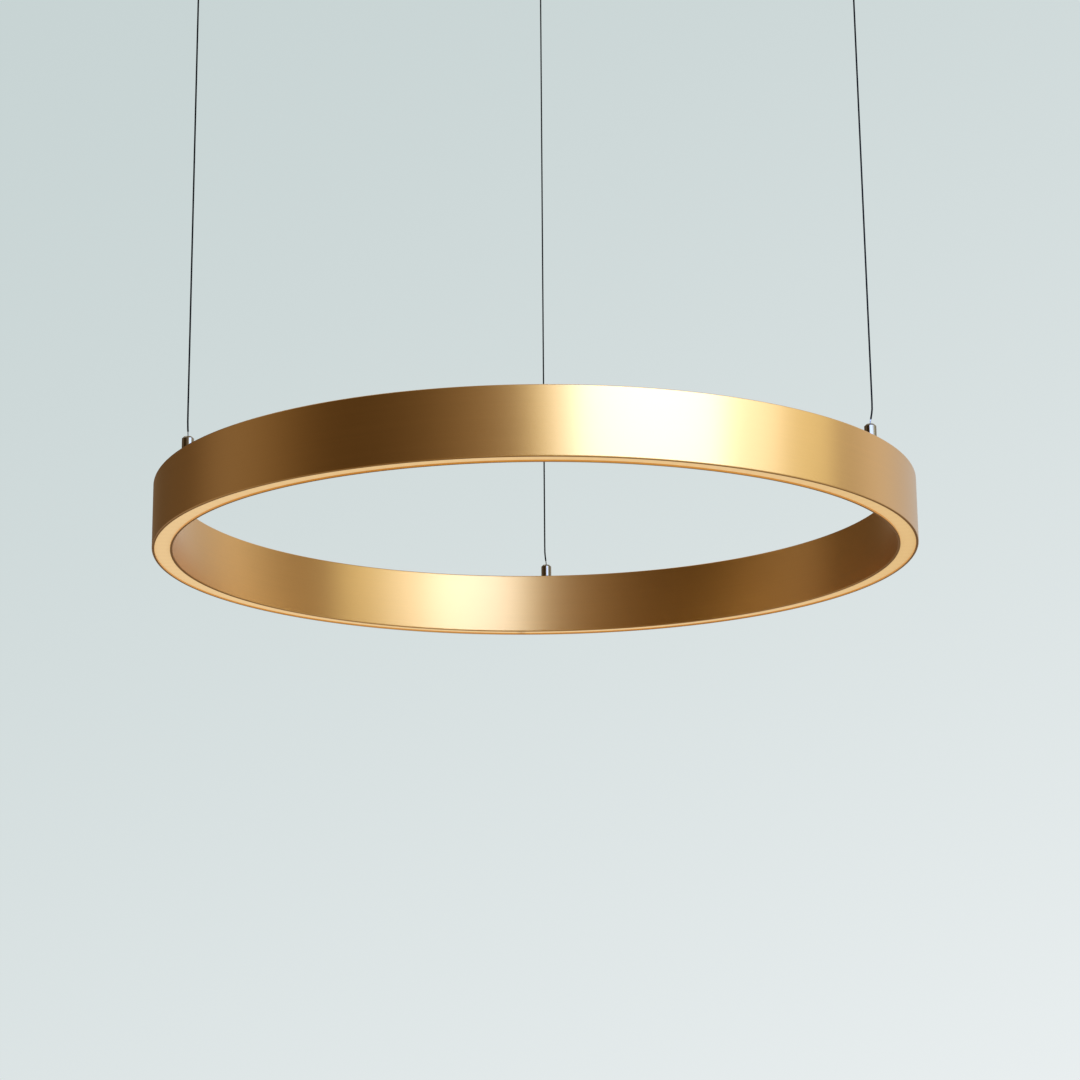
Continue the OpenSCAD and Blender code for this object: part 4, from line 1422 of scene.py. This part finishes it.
@dataclass
class Studio:
    """Camera, floor, room and lights."""

    ring_bottom: Point = (0.0, 0.0, -0.7)
    distance: float = 2.0376
    below: float = 13.336
    set_right: float = 1.912
    yaw: float = -1.804
    pitch: float = 13.738
    roll: float = -0.540
    lens: float = 85.957
    sensor: float = 36.0
    clip: tuple[float, float] = (0.05, 100.0)
    ring_middle: Point = (0.0, 0.0, -0.67)
    floor_z: float = -3.3
    floor_r: float = 5.0
    floor_sides: int = 96
    floor_glow: float = 0.62
    floor_dust: float = 1.5
    floor_tones: tuple[Colour, Colour] = (shade(206, 215, 216), shade(216, 224, 225))
    backdrop_tones: tuple[Colour, Colour] = (shade(200, 212, 212), shade(236, 241, 242))
    backdrop_fall: Point = (0.75, -1.62, 0.85)
    backdrop_power: float = 1.3
    fade: tuple[float, float] = (0.45, 0.98)
    ceiling_tone: Colour = (0.42, 0.39, 0.34, 1.0)
    ceiling_rise: tuple[float, float] = (0.60, 0.98)
    ground_rise: tuple[float, float] = (-0.12, 0.03)
    # Share of green and of blue in the room's light, and what of it is lost where it is dim.
    green: tuple[float, float] = (0.96, 0.42)
    blue: tuple[float, float] = (0.92, 0.80)
    warm_below: float = 0.5

    # Brightness of the room round the lamp, by azimuth: 0 towards the camera, 90 to its right.
    WALLS = (
        (-180, 0.66), (-162, 0.20), (-144, 0.10), (-128, 0.13), (-120, 0.09), (-112, 0.18),
        (-101, 0.30), (-88, 0.27), (-74, 0.17), (-61, 0.08), (-46, 0.07), (-30, 0.11),
        (-15, 0.24), (0, 0.34), (18, 0.33), (34, 0.76), (50, 0.51), (66, 0.48), (80, 0.33),
        (94, 0.35), (107, 0.53), (120, 0.79), (140, 0.60), (160, 0.60), (180, 0.66),
    )
    GROUND = (
        (-180, 0.16), (-160, 0.18), (-135, 0.40), (-100, 0.40), (-60, 0.12), (-20, 0.30),
        (20, 0.70), (60, 0.62), (100, 0.50), (135, 0.40), (160, 0.18), (180, 0.16),
    )
    # The key boxes lie one in another, so the highlight fades in steps from white to gold.
    BOXES = (
        Softbox("Key", 28.0, 17.0, 0.65, (0.40, 0.40), 1.6, (0.56, 0.94, 2.5)),
        Softbox("Key rim", 34.0, 17.0, 0.66, (0.70, 0.42), 0.85, (0.66, 1.0, 2.1)),
        Softbox("Key edge", 42.0, 17.0, 0.67, (1.12, 0.44), 0.8, (0.84, 1.0, 0.95)),
        Softbox("Fill", -120.0, 55.0, 2.8, (1.6, 1.6), 0.5),
    )

    def camera(self) -> None:
        """Set up the camera under the ring, looking up at it."""
        side, low = math.radians(self.set_right), math.radians(self.below)
        place = Vector(self.ring_bottom) + self.distance * Vector((
            math.cos(low) * math.sin(side), -math.cos(low) * math.cos(side), -math.sin(low)
        ))
        yaw, pitch, roll = (math.radians(a) for a in (self.yaw, self.pitch, self.roll))
        ahead = Vector((
            math.sin(yaw) * math.cos(pitch), math.cos(yaw) * math.cos(pitch), math.sin(pitch)
        ))
        right = Vector((math.cos(yaw), -math.sin(yaw), 0.0))
        up = right.cross(ahead)
        turned_right = math.cos(roll) * right + math.sin(roll) * up
        turned_up = math.cos(roll) * up - math.sin(roll) * right
        lens = bpy.data.cameras.new("Camera")
        lens.lens, lens.sensor_width, lens.sensor_fit = self.lens, self.sensor, "HORIZONTAL"
        lens.clip_start, lens.clip_end = self.clip
        holder = bpy.data.objects.new("Camera", lens)
        bpy.context.collection.objects.link(holder)
        turn = Matrix((turned_right, turned_up, -ahead)).transposed()
        holder.matrix_world = Matrix.Translation(place) @ turn.to_4x4()
        bpy.context.scene.camera = holder

    def room_tone(self, level: float) -> Colour:
        """Colour of the room at a brightness: warm where it is dim, plain where it is bright.

        Args:
            level: The brightness, where 1 is white.

        Returns:
            The colour.
        """
        warm = max(0.0, 1 - level / self.warm_below)
        green, blue = (plain - loss * warm for plain, loss in (self.green, self.blue))
        return (level, level * green, level * blue, 1.0)

    def room(self) -> None:
        """Paint the pale backdrop that the camera sees, and the room that the metal reflects.

        The room is dim on the camera's left and bright on its right, and its far side is as
        bright as the backdrop.
        """
        world = bpy.data.worlds.new("Room")
        bpy.context.scene.world = world
        shader = Shader(world)
        x, y, z = shader.split(shader.node("ShaderNodeTexCoord", output="Generated"))
        side = shader.math("ARCTAN2", x, 0 - y) / (2 * math.pi) + 0.5
        walls, ground = (
            shader.node(
                "ShaderNodeValToRGB",
                {"stops": [(a / 360 + 0.5, self.room_tone(v)) for a, v in row]},
                {0: side},
            )
            for row in (self.WALLS, self.GROUND)
        )
        high, low = z.step(*self.ceiling_rise), z.step(*self.ground_rise)
        room = shader.mix(low, ground, shader.mix(high, walls, self.ceiling_tone))
        by_x, by_z, start = self.backdrop_fall
        fall = shader.math("MAXIMUM", by_x * x + by_z * z + start, 0)
        backdrop = shader.mix(
            shader.math("MINIMUM", fall ** self.backdrop_power, 1), *self.backdrop_tones
        )
        path = shader.node("ShaderNodeLightPath", output="Is Camera Ray")
        seen = path + Signal(shader, path.socket.node.outputs["Is Transmission Ray"])
        light = {"Color": shader.mix(seen, room, backdrop), "Strength": 1.0}
        shader.node("ShaderNodeOutputWorld", inputs={
            "Surface": shader.node("ShaderNodeBackground", inputs=light)
        })

    def floor(self) -> None:
        """Lay a pale round floor that fades into the backdrop and glows for the camera only."""
        bpy.ops.object.select_all(action="DESELECT")
        bpy.ops.mesh.primitive_circle_add(
            vertices=self.floor_sides, radius=self.floor_r, fill_type="NGON",
            location=(0.0, 0.0, self.floor_z),
        )
        floor = bpy.context.object
        floor.name = "studio_floor"
        material = bpy.data.materials.new("Pale floor")
        shader = Shader(material)
        x, y, _ = shader.split(shader.place())
        radius = shader.radius(x, y)
        dust = shader.noise(shader.place(), self.floor_dust, 3.0, 0.6)
        pale = shader.mix(dust, *self.floor_tones)
        camera = shader.node("ShaderNodeLightPath", output="Is Camera Ray")
        surface = shader.node("ShaderNodeBsdfPrincipled", inputs={
            "Base Color": pale, "Roughness": 0.8, "Specular IOR Level": 0.2,
            "Emission Color": shader.mix(camera, NO_LIGHT, pale),
            "Emission Strength": self.floor_glow,
        })
        clear = shader.node("ShaderNodeBsdfTransparent")
        mixed = shader.node("ShaderNodeMixShader", inputs={
            0: radius.step(*(share * self.floor_r for share in self.fade)), 1: surface, 2: clear
        })
        shader.node("ShaderNodeOutputMaterial", inputs={"Surface": mixed})
        floor.data.materials.append(material)
        floor.visible_glossy = False

    def build(self) -> None:
        """Set up everything round the lamp."""
        self.camera()
        self.room()
        self.floor()
        for box in self.BOXES:
            box.build(self.ring_middle)
        bpy.context.scene.view_settings.view_transform = "Standard"


def main() -> None:
    """Build the lamp in its frame and the studio round it."""
    logging.basicConfig(level=logging.INFO, format="%(message)s")
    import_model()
    Lamp(LampSizes()).build()
    Studio().build()


if __name__ == "__main__":
    main()
